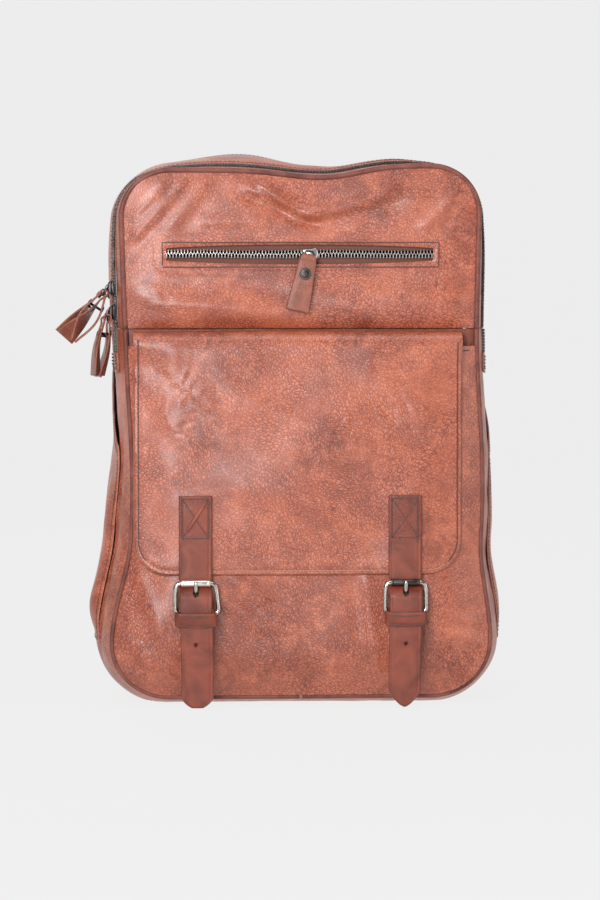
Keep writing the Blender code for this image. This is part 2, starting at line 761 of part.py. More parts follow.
def handle():
    """The grab handle, folded down behind the bag."""
    drop = [
        (-0.0500, *HANDLE_HINGE),
        (-0.0480, 0.0745, 0.3890),
        (-0.0360, 0.0770, 0.3735),
        (-0.0150, 0.0780, 0.3680),
        (0.0150, 0.0780, 0.3680),
        (0.0360, 0.0770, 0.3735),
        (0.0480, 0.0745, 0.3890),
        (0.0500, *HANDLE_HINGE),
    ]
    tube("handle", smooth_path(drop, 3), 0.0046, "strap_leather", resolution=3)


def yoke():
    """The leather piece that the shoulder straps and the handle are sewn under."""
    y = Y_BACK + 0.0010 + 0.0035 + 2 * GAP
    outline = [(-0.098, 0.357), (0.098, 0.357), (0.090, 0.3840), (-0.090, 0.3840)]
    bm = bmesh.new()
    bm.faces.new([bm.verts.new((x, y, z)) for x, z in reversed(outline)])
    made = from_bmesh("strap_yoke", bm, "strap_leather")
    solid = made.modifiers.new("thickness", "SOLIDIFY")
    solid.thickness = 0.0020
    solid.offset = 1


def shoulder(side):
    sign = -1 if side == "left" else 1
    bend = [
        (sign * STRAP_OUT, 0.0800, 0.3560),
        (sign * (STRAP_OUT + 0.002), 0.0960, 0.3360),
        (sign * (STRAP_OUT + 0.006), 0.1160, 0.2950),
        (sign * (STRAP_OUT + 0.014), 0.1240, 0.2450),
        (sign * (STRAP_OUT + 0.021), 0.1190, 0.2050),
        (sign * STRAP_LOW, 0.1060, 0.1700),
    ]
    path = smooth_path(bend, 3)

    def pad(along, total):
        return PAD_HALF - 0.008 * (along / total) ** 2

    ribbon(f"shoulder_strap_{side}", path[::-1], lambda a, t: pad(t - a, t), PAD_THICK,
           "padding", outward=1)
    web = [
        (sign * STRAP_LOW, 0.0975, 0.1655),
        (sign * 0.0930, 0.0930, 0.1300),
        (sign * 0.1010, 0.0820, 0.0900),
        (sign * 0.1080, 0.0724, 0.0560),
    ]
    route = smooth_path(web, 3)
    ribbon(f"webbing_{side}", route[::-1], lambda a, t: WEB_HALF, WEB_THICK, "webbing", outward=1)
    lock = box(
        f"ladder_lock_{side}",
        (-0.0170, -0.0015, -LOCK_LONG / 2),
        (0.0170, 0.0015, LOCK_LONG / 2),
        "metal",
    )
    for z in (-0.0065, 0.0065):
        slot = box(
            f"ladder_{side}_slot_{'low' if z < 0 else 'high'}_cutter",
            (-0.0135, -0.01, z - 0.0028),
            (0.0135, 0.01, z + 0.0028),
            None,
            CUTTERS,
        )
        slot.parent = lock
        cut(lock, slot)
    lock.location = (sign * LOCK_AT[0], *LOCK_AT[1:])
    lock.rotation_euler = (math.radians(-8), 0, 0)
    anchor = [(-0.017, 0.032), (0.017, 0.032), (0.017, 0.014), (0.028, -0.016), (-0.010, -0.016)]
    bm = bmesh.new()
    verts = [bm.verts.new((sign * (0.1090 + px), 0.0686, 0.0390 + pz)) for px, pz in anchor]
    bm.faces.new(verts)
    made = from_bmesh(f"strap_anchor_{side}", bm, "strap_leather")
    solid = made.modifiers.new("thickness", "SOLIDIFY")
    solid.thickness = 0.0026
    solid.offset = 0


# ---------------------------------------------------------------- what moves


def pivot(name, place, children, parent=None):
    """An empty on a joint's axis, which carries its children without moving them."""
    made = bpy.data.objects.new(name, None)
    PARTS.objects.link(made)
    made.location = place
    made.empty_display_size = 0.01
    for child in children:
        carry(made, bpy.data.objects[child], Vector(place))
    if parent:
        carry(bpy.data.objects[parent], made, Vector(PIVOTS[parent]))
    PIVOTS[name] = place


def carry(parent, child, place):
    child.parent = parent
    child.matrix_parent_inverse = Matrix.Translation(-place)


def hang_moving_parts():
    cover = ["front_panel_upper", "front_piping_upper", "front_zip_strip"]
    cover += ["main_zip_half_front", "front_zip_tape", "front_zip_teeth", "front_zip_slider"]
    pivot("cover_pivot", (0, Y_FRONT, Z_SEAM + 0.0006), cover)
    pull = bpy.data.objects["front_zip_pull"]
    pivot("front_pull_pivot", tuple(pull.location), ["front_zip_pull"], "cover_pivot")
    hanging = ["flap"]
    for side in STRAP_X:
        hanging += [f"{part}_{side}" for part in ("strap", "chape", "keeper", "snap_stud")]
    pivot("flap_pivot", (FLAP_X, *FLAP_HINGE), hanging)
    for side, x in STRAP_X.items():
        buckle_parts = [f"buckle_{part}_{side}" for part in ("frame", "prong", "roller")]
        pivot(f"buckle_{side}_pivot", (x, Y_BUCKLE, Z_HEEL), buckle_parts, "flap_pivot")
        sign = -1 if side == "left" else 1
        lock_pivot = (sign * LOCK_AT[0], LOCK_AT[1] + 0.0020, LOCK_AT[2] + LOCK_LONG / 2)
        pivot(f"ladder_lock_{side}_pivot", lock_pivot, [f"ladder_lock_{side}"])
    pivot("handle_pivot", (0, *HANDLE_HINGE), ["handle"])


clear_scene()
PARTS = collection("leather_backpack")
CUTTERS = collection("cutters")
walls()
piping()
arched_zips()
divider()
front_zip()
for slider in SIDE_SLIDERS:
    side_slider(*slider)
flap()
for which in STRAP_X:
    strap(which)
    chape(which)
    buckle(which)
    keeper(which)
    snap(which)
    shoulder(which)
handle()
yoke()
hang_moving_parts()
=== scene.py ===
"""The looks of a leather laptop backpack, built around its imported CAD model.

Units are metres. +Z is up and -Y is the front of the bag. Pieces are laid out on a plain rounded
rectangle and pass through settle(), which bends it as sagging leather does.
"""

import math

import bmesh
import bpy
from mathutils import Matrix, Vector, noise


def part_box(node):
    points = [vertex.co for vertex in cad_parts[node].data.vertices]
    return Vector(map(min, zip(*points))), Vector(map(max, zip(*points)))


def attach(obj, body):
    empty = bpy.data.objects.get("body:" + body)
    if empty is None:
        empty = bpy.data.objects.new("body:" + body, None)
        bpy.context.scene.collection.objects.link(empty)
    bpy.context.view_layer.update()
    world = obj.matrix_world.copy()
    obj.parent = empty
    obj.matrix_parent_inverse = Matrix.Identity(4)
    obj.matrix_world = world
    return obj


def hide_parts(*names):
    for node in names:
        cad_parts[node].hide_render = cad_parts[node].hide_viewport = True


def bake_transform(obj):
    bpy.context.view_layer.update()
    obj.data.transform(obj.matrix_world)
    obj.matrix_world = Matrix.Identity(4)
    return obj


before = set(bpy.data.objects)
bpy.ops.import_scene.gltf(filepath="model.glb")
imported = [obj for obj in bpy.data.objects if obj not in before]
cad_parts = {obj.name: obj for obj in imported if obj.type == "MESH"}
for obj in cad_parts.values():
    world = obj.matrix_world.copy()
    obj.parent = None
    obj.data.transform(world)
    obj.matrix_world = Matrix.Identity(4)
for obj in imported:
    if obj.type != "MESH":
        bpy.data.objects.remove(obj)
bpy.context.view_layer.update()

# ---------------------------------------------------------------- sizes, read off the CAD

piping_low, piping_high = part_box("front_piping_upper")
flap_low, flap_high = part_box("flap")
zip_low, zip_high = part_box("front_zip_teeth")

HALF_WIDTH = 0.1355
Z_BOTTOM, Z_TOP = 0.007, 0.4145
R_BOTTOM, R_TOP = 0.042, 0.037
PIPING_R = 0.0022
Y_FRONT = piping_low.y + PIPING_R
Y_BACK = -Y_FRONT
DEPTH = Y_BACK - Y_FRONT
SWELL, SWELL_AT, SWELL_LOSS = 0.0100, 0.45, 0.0040
TAUT_AT, TAUT, TAUT_REACH = (0.118, 0.400), 0.62, 0.034
Z_SEAM, Z_HEM, Z_CORNER = 0.2922, 0.2790, 0.060
Z_COVER = piping_low.z
UPPER_BULGE, UPPER_EASE = 0.0035, 0.030
POCKET_BULGE, POCKET_EASE = 0.0140, 0.045
Y_MAIN, Y_LAPTOP = -0.0365, 0.0365
ZIP_Z = (zip_low.z + zip_high.z) / 2
STRAP_X = {s: sum(v.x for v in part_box(f"strap_{s}")) / 2 for s in ("left", "right")}
FLAP_X = (flap_low.x + flap_high.x) / 2
FLAP_HALF = (flap_high.x - flap_low.x) / 2
FLAP_LOW, FLAP_FRONT = flap_low.z, flap_low.y
FLAP_R = 0.027


def ramp(share):
    return math.sin(math.pi / 2 * min(max(share, 0.0), 1.0))


def bell(value, middle, width):
    return math.exp(-(((value - middle) / width) ** 2))


def smooth(share):
    share = min(max(share, 0.0), 1.0)
    return share * share * (3 - 2 * share)


def settle(x, z):
    """Moves a point of the plain outline to where the sagging leather holds it."""
    wider = 0.0112 * smooth((0.130 - z) / 0.080) + 0.003 * min(max((z - 0.28) / 0.10, 0.0), 1.0)
    aside = 0.0056 * bell(z, 0.17, 0.080) - 0.0003
    return x * (1 + wider / HALF_WIDTH) + aside, z + sag(x) * ramp((z - 0.30) / 0.11)


def sag(x):
    """How far the top edge is above its plain outline."""
    return 0.0034 * smooth((x - 0.02) / 0.06) - 0.0056 * bell(x, 0.014, 0.038)


def fullness(x, z):
    """The share of the swell that the walls have at a point of the plain outline."""
    away = math.hypot(abs(x) - TAUT_AT[0], z - TAUT_AT[1])
    return 1 - TAUT * bell(away, 0, TAUT_REACH)


def swell(y):
    u = (y - Y_FRONT) / DEPTH
    if u < SWELL_AT:
        return SWELL * (1 - (1 - max(u, 0.0) / SWELL_AT) ** 2)
    return SWELL - SWELL_LOSS * ((u - SWELL_AT) / (1 - SWELL_AT)) ** 2


def evenly(first, last, count):
    return [first + (last - first) * i / count for i in range(count + 1)]


def arc(cx, cz, radius, start, end, count):
    angles = [math.radians(a) for a in evenly(start, end, count)]
    return [(cx + radius * math.cos(a), cz + radius * math.sin(a)) for a in angles]


def arch(z0, grow, side=24, corner=22, top=70):
    """The outline from the right side at z0, over the top, to the left side at z0."""
    w, cx, cz = HALF_WIDTH + grow, HALF_WIDTH - R_TOP, Z_TOP - R_TOP
    right = [(w, z) for z in evenly(z0, cz, side)][:-1]
    over = [(x, Z_TOP + grow) for x in evenly(cx, -cx, top)][1:-1]
    first = arc(cx, cz, R_TOP + grow, 0, 90, corner)
    second = arc(-cx, cz, R_TOP + grow, 90, 180, corner)
    return right + first + over + second + [(-x, z) for x, z in reversed(right)]


def trough(z0, grow, side=90, corner=24, low=60):
    """The outline from the left side at z0, under the base, to the right side at z0."""
    w, cx, cz = HALF_WIDTH + grow, HALF_WIDTH - R_BOTTOM, Z_BOTTOM + R_BOTTOM
    left = [(-w, z) for z in evenly(z0, cz, side)][:-1]
    under = [(x, Z_BOTTOM - grow) for x in evenly(-cx, cx, low)][1:-1]
    first = arc(-cx, cz, R_BOTTOM + grow, 180, 270, corner)
    second = arc(cx, cz, R_BOTTOM + grow, 270, 360, corner)
    return left + first + under + second + [(-x, z) for x, z in reversed(left)]


def half_width(z, inset):
    for centre, radius, sign in ((Z_TOP - R_TOP, R_TOP, 1), (Z_BOTTOM + R_BOTTOM, R_BOTTOM, -1)):
        past = (z - centre) * sign
        if past > 0:
            r = radius - inset
            return HALF_WIDTH - radius + math.sqrt(max(r * r - past * past, 0.0))
    return HALF_WIDTH - inset


def placed(x, y, z, floor=0.0):
    x, z = settle(x, z)
    return Vector((x, y, max(z, floor)))


# ---------------------------------------------------------------- materials


class Shader:
    """A Principled material, with short ways to add the nodes that feed it."""

    def __init__(self, name):
        self.material = bpy.data.materials.new(name)
        self.material.use_nodes = True
        self.tree = self.material.node_tree
        self.main = self.tree.nodes["Principled BSDF"]
        self.place = self.node("TexCoord").outputs["Generated"]

    def node(self, kind, feeds=None, **settings):
        made = self.tree.nodes.new("ShaderNode" + kind)
        for key, value in settings.items():
            setattr(made, key, value)
        for key, value in (feeds or {}).items():
            self.feed(made.inputs[key], value)
        return made

    def feed(self, socket, value):
        if isinstance(value, bpy.types.NodeSocket):
            self.tree.links.new(value, socket)
        else:
            socket.default_value = value

    def noise(self, scale, detail=3.0, distortion=0.0, place=None):
        feeds = {"Vector": place or self.place, "Scale": scale, "Detail": detail, "Distortion": distortion}
        return self.node("TexNoise", feeds).outputs["Fac"]

    def cracks(self, scale, place=None):
        feeds = {"Vector": place or self.place, "Scale": scale}
        return self.node("TexVoronoi", feeds, feature="DISTANCE_TO_EDGE").outputs["Distance"]

    def stretched(self, factors, place=None):
        feeds = {0: place or self.place, 1: factors}
        return self.node("VectorMath", feeds, operation="MULTIPLY").outputs[0]

    def wobbled(self, scale, amount):
        """The place, pushed about by noise."""
        colour = self.node("TexNoise", {"Vector": self.place, "Scale": scale, "Detail": 2.0}).outputs["Color"]
        centred = self.node("VectorMath", {0: colour, 1: (0.5, 0.5, 0.5)}, operation="SUBTRACT").outputs[0]
        scaled = self.node("VectorMath", {0: centred, "Scale": amount}, operation="SCALE").outputs[0]
        return self.node("VectorMath", {0: self.place, 1: scaled}, operation="ADD").outputs[0]

    def between(self, value, low, high, to_low=0.0, to_high=1.0):
        feeds = {"Value": value, "From Min": low, "From Max": high, "To Min": to_low, "To Max": to_high}
        return self.node("MapRange", feeds).outputs["Result"]

    def mix(self, factor, first, second, blend_type="MIX"):
        made = self.node("Mix", data_type="RGBA", blend_type=blend_type)
        self.feed(made.inputs[0], factor)
        for socket, value in ((made.inputs[6], first), (made.inputs[7], second)):
            self.feed(socket, value if isinstance(value, bpy.types.NodeSocket) else (*value, 1))
        return made.outputs[2]

    def maths(self, operation, first, second):
        made = self.node("Math", operation=operation)
        self.feed(made.inputs[0], first)
        self.feed(made.inputs[1], second)
        return made.outputs[0]

    def bump(self, height, distance, strength=1.0, normal=None):
        feeds = {"Height": height, "Distance": distance, "Strength": strength}
        if normal:
            feeds["Normal"] = normal
        return self.node("Bump", feeds).outputs["Normal"]

    def finish(self, **sockets):
        for key, value in sockets.items():
            name = key.replace("_", " ").title().replace("Ior", "IOR")
            plain_colour = isinstance(value, tuple) and len(value) == 3
            self.feed(self.main.inputs[name], (*value, 1) if plain_colour else value)
        return self.material


def pebbled_leather(name, deep, mid, warm, grain=1.0, rough=(0.36, 0.50), gloss=1.0, speed=480):
    """Glossy leather with a worm-like grain whose creases are darkened with painted shade."""
    s = Shader(name)
    flow = s.wobbled(42, 0.016)
    long_grain = s.stretched((1.0, 1.0, 0.62), s.wobbled(150, 0.0042))
    worms = s.cracks(speed, long_grain)
    turned = s.stretched((0.62, 0.7, 1.0), s.wobbled(120, 0.0050))
    worms_across = s.cracks(speed * 1.08, turned)
    which_way = s.between(s.noise(26, 2.0, 0.6), 0.44, 0.56)
    cells = s.maths(
        "ADD",
        s.maths("MULTIPLY", worms, s.maths("SUBTRACT", 1.0, which_way)),
        s.maths("MULTIPLY", worms_across, which_way),
    )
    height = s.between(cells, 0.0, 0.30)
    tone = s.mix(s.between(s.noise(17, 5.0, 0.9, flow), 0.36, 0.62), deep, mid)
    tone = s.mix(s.between(s.noise(70, 4.0, 0.6), 0.46, 0.78), tone, warm)
    # Painted shade: the grain's valleys are darkened in the colour, more strongly in some places than others at
    # random.
    painted_valley_shade = s.mix(1.0, tone, (0.40, 0.24, 0.20), "MULTIPLY")
    wear_and_shade = s.between(s.noise(34, 4.0), 0.35, 0.65, 0.50, 1.0)
    colour = s.mix(s.maths("MULTIPLY", s.between(height, 0.06, 0.62, 1.0, 0.0), wear_and_shade), tone, painted_valley_shade)
    depth = s.maths("MULTIPLY", height, s.between(s.noise(20, 2.0), 0.35, 0.65, 0.65, 1.0))
    normal = s.bump(depth, 0.00030 * grain, 1.0)
    normal = s.bump(s.noise(120, 2.0, 0.4), 0.0008, 0.6, normal)
    roughness = s.between(s.noise(60, 3.0), 0.35, 0.65, *rough)
    return s.finish(
        base_color=colour, roughness=roughness, normal=normal, specular_ior_level=0.46 * gloss,
        coat_weight=0.60 * gloss, coat_roughness=0.29,
    )


def smooth_leather(name, low, high, grain=1.0, rough=(0.30, 0.46), gloss=0.8):
    """Harness leather: a fine grain, pull-up clouds and faint creases."""
    s = Shader(name)
    clouds = s.noise(52, 5.0, 0.9)
    colour = s.mix(s.between(clouds, 0.34, 0.68), low, high)
    pores = s.cracks(1500, s.wobbled(300, 0.002))
    height = s.between(pores, 0.0, 0.24)
    # Painted shade: the colour darkens in the pores of the fine grain.
    colour = s.mix(s.between(height, 0.0, 0.6, 0.28, 0.0), colour, (0.06, 0.02, 0.015))
    normal = s.bump(height, 0.00010 * grain, 0.6)
    normal = s.bump(s.noise(140, 3.0), 0.0004, 0.4, normal)
    roughness = s.between(s.noise(90, 3.0), 0.35, 0.65, *rough)
    return s.finish(
        base_color=colour, roughness=roughness, normal=normal, specular_ior_level=0.5 * gloss,
        coat_weight=0.12 * gloss, coat_roughness=0.25,
    )


def woven(name, low, high, pitch, depth=0.00018):
    """A ribbed weave: crossed waves, pitch apart."""
    s = Shader(name)
    scale = 0.628 / pitch

    def wave(direction, distortion):
        feeds = {"Vector": s.place, "Scale": scale, "Distortion": distortion, "Detail": 1.0}
        return s.node("TexWave", feeds, bands_direction=direction).outputs["Fac"]

    weave = s.maths("MULTIPLY", wave("DIAGONAL", 0.3), s.between(s.noise(900, 1.0), 0.2, 0.8, 0.6, 1.0))
    colour = s.mix(weave, low, high)
    colour = s.mix(s.between(s.noise(60, 3.0), 0.3, 0.7, 0.0, 0.35), colour, low)
    normal = s.bump(weave, depth, 0.8)
    return s.finish(base_color=colour, roughness=0.82, normal=normal, sheen_weight=0.25, sheen_roughness=0.5)


def air_mesh(name, low, high, pitch=0.0030):
    """Spacer mesh: a knitted face with rows of small holes."""
    s = Shader(name)
    feeds = {"Vector": s.stretched((1.0, 1.0, 0.8)), "Scale": 1 / pitch, "Randomness": 0.25}
    holes = s.node("TexVoronoi", feeds, feature="F1").outputs["Distance"]
    rim = s.between(holes, 0.20, 0.42)
    # Painted shade: the holes are coloured dark, for the shade where one looks into them.
    colour = s.mix(rim, low, high)
    normal = s.bump(rim, 0.0006, 0.9)
    normal = s.bump(s.noise(1300, 2.0), 0.0001, 0.6, normal)
    return s.finish(base_color=colour, roughness=0.88, normal=normal, sheen_weight=0.3, sheen_roughness=0.6)


def metal(name, colour, wear_and_shade, rough):
    """Plated metal with faint smears and scratches."""
    s = Shader(name)
    smear = s.noise(260, 4.0, 0.6)
    tone = s.mix(s.between(smear, 0.40, 0.75), colour, wear_and_shade)
    scratch = s.noise(1400, 2.0, 0.0, s.stretched((0.12, 1.0, 1.0)))
    normal = s.bump(scratch, 0.00003, 0.5)
    roughness = s.between(smear, 0.3, 0.7, *rough)
    return s.finish(base_color=tone, roughness=roughness, metallic=1.0, normal=normal)


def thread(name, low, high):
    s = Shader(name)
    twist = s.noise(2600, 2.0, 0.0, s.stretched((1.0, 1.0, 1.6)))
    colour = s.mix(s.between(twist, 0.35, 0.65), low, high)
    return s.finish(base_color=colour, roughness=0.6, normal=s.bump(twist, 0.0001, 0.6), sheen_weight=0.2)


LEATHER = pebbled_leather("pebbled_leather", (0.280, 0.062, 0.029), (0.430, 0.110, 0.052), (0.510, 0.146, 0.074))
GUSSET = pebbled_leather(
    "gusset_leather", (0.350, 0.092, 0.048), (0.500, 0.142, 0.078), (0.590, 0.185, 0.105), 0.8, (0.36, 0.52), 0.6
)
STRAP = smooth_leather("strap_leather", (0.120, 0.022, 0.010), (0.250, 0.050, 0.024))
PIPING = smooth_leather("piping_leather", (0.120, 0.032, 0.023), (0.230, 0.070, 0.050), 1.3, (0.30, 0.44), 0.6)
EDGE_PAINT = smooth_leather("edge_paint", (0.300, 0.125, 0.095), (0.430, 0.210, 0.170), 0.6, (0.45, 0.6))
LINING = woven("lining_cloth", (0.055, 0.024, 0.016), (0.100, 0.046, 0.030), 0.0011)
TAPE = woven("zip_tape", (0.105, 0.038, 0.026), (0.200, 0.080, 0.056), 0.0012)
WEBBING = woven("webbing", (0.060, 0.026, 0.018), (0.130, 0.058, 0.040), 0.0022, depth=0.0004)
MESH_CLOTH = air_mesh("air_mesh", (0.020, 0.010, 0.008), (0.115, 0.052, 0.036))
PAD_CLOTH = air_mesh("pad_mesh", (0.022, 0.011, 0.009), (0.125, 0.056, 0.038), 0.0024)
THREAD = thread("thread", (0.055, 0.018, 0.013), (0.120, 0.040, 0.028))
# Darker leather that paints shade: the ribbon under each stitch row stands for the shade in its groove, and a band
# down the flap's sides for the shadow of its raised edge.
PAINTED_SHADE = smooth_leather("pressed_groove", (0.240, 0.066, 0.040), (0.350, 0.110, 0.072), 0.5)
PALE_THREAD = thread("pale_thread", (0.300, 0.120, 0.085), (0.430, 0.200, 0.150))
NICKEL = metal("polished_nickel", (0.56, 0.53, 0.49), (0.38, 0.355, 0.33), (0.10, 0.22))
# Light nickel, used only for the left buckle's roller as its lit copy: painted light.
LIT_ROLLER_NICKEL = metal("lit_roller_nickel", (0.78, 0.76, 0.72), (0.62, 0.59, 0.55), (0.26, 0.38))
TEETH_BRIGHT = metal("bright_teeth", (0.62, 0.60, 0.57), (0.36, 0.34, 0.32), (0.20, 0.36))
DARK_NICKEL = metal("dark_nickel", (0.075, 0.066, 0.062), (0.035, 0.030, 0.028), (0.30, 0.46))

# ---------------------------------------------------------------- making pieces


def link(name, mesh, materials):
    mesh.use_auto_texspace = False
    mesh.texspace_location = (0, 0, 0)
    mesh.texspace_size = (0.5, 0.5, 0.5)
    mesh.materials.clear()
    for one in materials:
        mesh.materials.append(one)
    mesh.shade_smooth()
    obj = bpy.data.objects.new(name, mesh)
    bpy.context.scene.collection.objects.link(obj)
    return obj


def piece(name, bm, materials, body, nodes=()):
    """A finished object that rides on a body and stands for some CAD nodes."""
    mesh = bpy.data.meshes.new(name)
    bm.to_mesh(mesh)
    bm.free()
    obj = link(name, mesh, materials)
    if body:
        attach(obj, body)
    if nodes:
        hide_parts(*nodes)
    return obj


def thicken(obj, thick, rim=0.0006, angle=55):
    """Gives a skin its thickness inwards; its inside and its cut edge take the next two materials."""
    solid = obj.modifiers.new("thickness", "SOLIDIFY")
    solid.thickness = thick
    solid.offset = -1
    solid.use_even_offset = True
    solid.material_offset = 1
    solid.material_offset_rim = 2
    bevel = obj.modifiers.new("rim", "BEVEL")
    bevel.width = rim
    bevel.segments = 2
    bevel.limit_method = "ANGLE"
    bevel.angle_limit = math.radians(angle)
    return obj


def made_final(obj):
    """Makes a piece's modifiers part of its mesh."""
    graph = bpy.context.evaluated_depsgraph_get()
    mesh = bpy.data.meshes.new_from_object(obj.evaluated_get(graph))
    obj.modifiers.clear()
    obj.data = mesh
    mesh.use_auto_texspace = False
    mesh.texspace_location = (0, 0, 0)
    mesh.texspace_size = (0.5, 0.5, 0.5)
    return obj


def grid(bm, rows, closed=False, skip=None, material=0):
    """Faces between rows of points; (next column) x (next row) points out."""
    verts = [[bm.verts.new(p) for p in row] for row in rows]
    for i, (lower, upper) in enumerate(zip(verts, verts[1:])):
        count = len(lower)
        for j in range(count if closed else count - 1):
            if skip and skip(i, j):
                continue
            k = (j + 1) % count
            face = bm.faces.new((lower[j], lower[k], upper[k], upper[j]))
            face.material_index = material
    loose = [v for v in bm.verts if not v.link_faces]
    bmesh.ops.delete(bm, geom=loose, context="VERTS")
    return verts


def skin(name, rows, thick, body, nodes=(), materials=None, slot="leather", **options):
    bm = bmesh.new()
    grid(bm, rows, options.get("closed", False), options.get("skip"))
    for face in bm.faces if "paint" in options else ():
        face.material_index = options["paint"](face.calc_center_median())
    obj = piece(name, bm, materials or (LEATHER, LINING, EDGE_PAINT), body, nodes)
    return thicken(obj, thick, options.get("rim", 0.0006))


def smooth_path(points, per_span):
    """A Catmull-Rom curve through the given points."""
    pts = [Vector(p) for p in points]
    pts = [2 * pts[0] - pts[1]] + pts + [2 * pts[-1] - pts[-2]]
    found = []
    for a, b, c, d in zip(pts, pts[1:], pts[2:], pts[3:]):
        for i in range(per_span):
            t = i / per_span
            found.append(
                0.5 * (2 * b + (c - a) * t + (2 * a - 5 * b + 4 * c - d) * t**2
                       + (3 * b - a - 3 * c + d) * t**3)
            )
    return found + [pts[-2]]


def lengths_of(path):
    found = [0.0]
    for a, b in zip(path, path[1:]):
        found.append(found[-1] + (b - a).length)
    return found


def evened(path, step):
    """The same path with points a step apart."""
    lengths = lengths_of(path)
    count = max(2, round(lengths[-1] / step))
    found, i = [], 0
    for want in evenly(0, lengths[-1], count):
        while i < len(path) - 2 and lengths[i + 1] < want:
            i += 1
        span = lengths[i + 1] - lengths[i]
        found.append(path[i].lerp(path[i + 1], min(max((want - lengths[i]) / span, 0.0), 1.0) if span else 0.0))
    return found


def sweep(bm, path, section, across=None, closed=False, base=0):
    """A skin round a path. section(share) gives (across, out, material) points, seen along it."""
    count = len(path)
    side = Vector(across) if across is not None and not callable(across) else None
    rings = []
    for i, place in enumerate(path):
        before = path[i - 1] if i or closed else path[0]
        after = path[(i + 1) % count] if i < count - 1 or closed else path[-1]
        along = (after - before).normalized()
        share = i / (count - 1)
        if callable(across):
            side = Vector(across(share))
        elif side is None:
            side = Vector((1, 0, 0)) if abs(along.x) < 0.9 else Vector((0, 1, 0))
        side = (side - along * side.dot(along)).normalized()
        out = along.cross(side)
        ring = section(share)
        rings.append(([bm.verts.new(place + side * a + out * o) for a, o, _ in ring], ring))
    pairs = list(zip(rings, rings[1:] + rings[:1])) if closed else list(zip(rings, rings[1:]))
    for (low, marks), (high, _) in pairs:
        for j in range(len(low)):
            k = (j + 1) % len(low)
            face = bm.faces.new((low[j], low[k], high[k], high[j]))
            face.material_index = base + max(marks[j][2], marks[k][2])
    if not closed:
        for ring, flip in ((rings[0], True), (rings[-1], False)):
            verts = ring[0]
            face = bm.faces.new(list(reversed(verts)) if flip else verts)
            face.material_index = base + max(mark[2] for mark in ring[1])
    return rings


def round_section(radius, sides=14):
    """A round section; radius is a number or a function of the share along."""

    def section(share):
        r = radius(share) if callable(radius) else radius
        angles = [2 * math.pi * i / sides for i in range(sides)]
        return [(r * math.cos(a), r * math.sin(a), 0) for a in angles]

    return section


def strap_section(half, thick, columns=8, crown=0.0002, inner=3, pressed=0.0):
    """A strap's section below its path, with rounded edges that take the next material."""

    def section(share):
        wide = half(share) if callable(half) else half
        r = thick / 2
        flat = max(wide - r, 0.0002)
        points = [(flat * u, crown * (1 - u * u) - pressed * bell(abs(u), 0.87, 0.045), 0)
                  for u in evenly(1, -1, columns)]
        for start, sign in ((130, -1), (310, 1)):
            for angle in (start, start + 50, start + 100):
                a = math.radians(angle)
                points.append((sign * flat + r * math.cos(a), -r + r * math.sin(a), 1))
            if sign < 0:
                points += [(flat * u, -thick, 0) for u in evenly(-1, 1, inner)]
        return points

    return section


def strap_piece(name, path, half, thick, body, nodes=(), across=(1, 0, 0), materials=None,
                slot="strap_leather", **options):
    bm = bmesh.new()
    sweep(bm, path, strap_section(half, thick, **options), across)
    return piece(name, bm, materials or (STRAP, EDGE_PAINT), body, nodes)


def tube_piece(name, path, radius, material, body, nodes=(), across=None, closed=False, sides=14):
    bm = bmesh.new()
    sweep(bm, path, round_section(radius, sides), across, closed)
    return piece(name, bm, (material,), body, nodes)


def lathe(bm, centre, axis, profile, sides=32, material=0):
    """A turned shape. profile holds (height, radius) from its back to its front."""
    turn = Vector((0, 0, 1)).rotation_difference(Vector(axis)).to_matrix()
    rings = []
    for height, radius in profile:
        angles = [2 * math.pi * i / sides for i in range(sides)]
        ring = [Vector((radius * math.cos(a), radius * math.sin(a), height)) for a in angles]
        rings.append([Vector(centre) + turn @ p for p in ring])
    verts = grid(bm, rings, closed=True, material=material)
    bm.faces.new(list(reversed(verts[0]))).material_index = material
    bm.faces.new(verts[-1]).material_index = material


def rivet_profile(radius, height):
    """A domed rivet head with a turned rim."""
    return [
        (0.0, radius), (height * 0.35, radius), (height * 0.62, radius * 0.93), (height * 0.70, radius * 0.80),
        (height * 0.60, radius * 0.72), (height * 0.80, radius * 0.58), (height * 0.95, radius * 0.35),
        (height, radius * 0.12),
    ]


def stitch(bm, a, b, out, thick):
    """One thread lying between two needle holes, fat in its middle."""
    along = b - a
    side = along.cross(out).normalized() * thick / 2
    rise = out * thick * 0.55
    rings = []
    for share, size in ((0.22, 0.9), (0.5, 1.12), (0.78, 0.9)):
        middle = a + along * share
        rings.append([bm.verts.new(middle + side * size), bm.verts.new(middle + rise * size),
                      bm.verts.new(middle - side * size), bm.verts.new(middle - rise * size)])
    first, last = bm.verts.new(a - out * thick * 0.5), bm.verts.new(b - out * thick * 0.5)
    for j in range(4):
        k = (j + 1) % 4
        bm.faces.new((first, rings[0][k], rings[0][j]))
        bm.faces.new((last, rings[2][j], rings[2][k]))
        for low, high in zip(rings, rings[1:]):
            bm.faces.new((low[j], low[k], high[k], high[j]))


def painted_channel_shade(bm, row, half=0.00050):
    """A dark ribbon under a row of stitches: painted shade, where the groove that they press into the leather would
    be.
    """
    last = None
    for (place, out), (after, _) in zip(row, row[1:]):
        side = (after - place).cross(out).normalized() * half
        pair = [bm.verts.new(place + side + out * 0.00012), bm.verts.new(place - side + out * 0.00012)]
        if last:
            bm.faces.new((*last, *reversed(pair))).material_index = 1
        last = pair


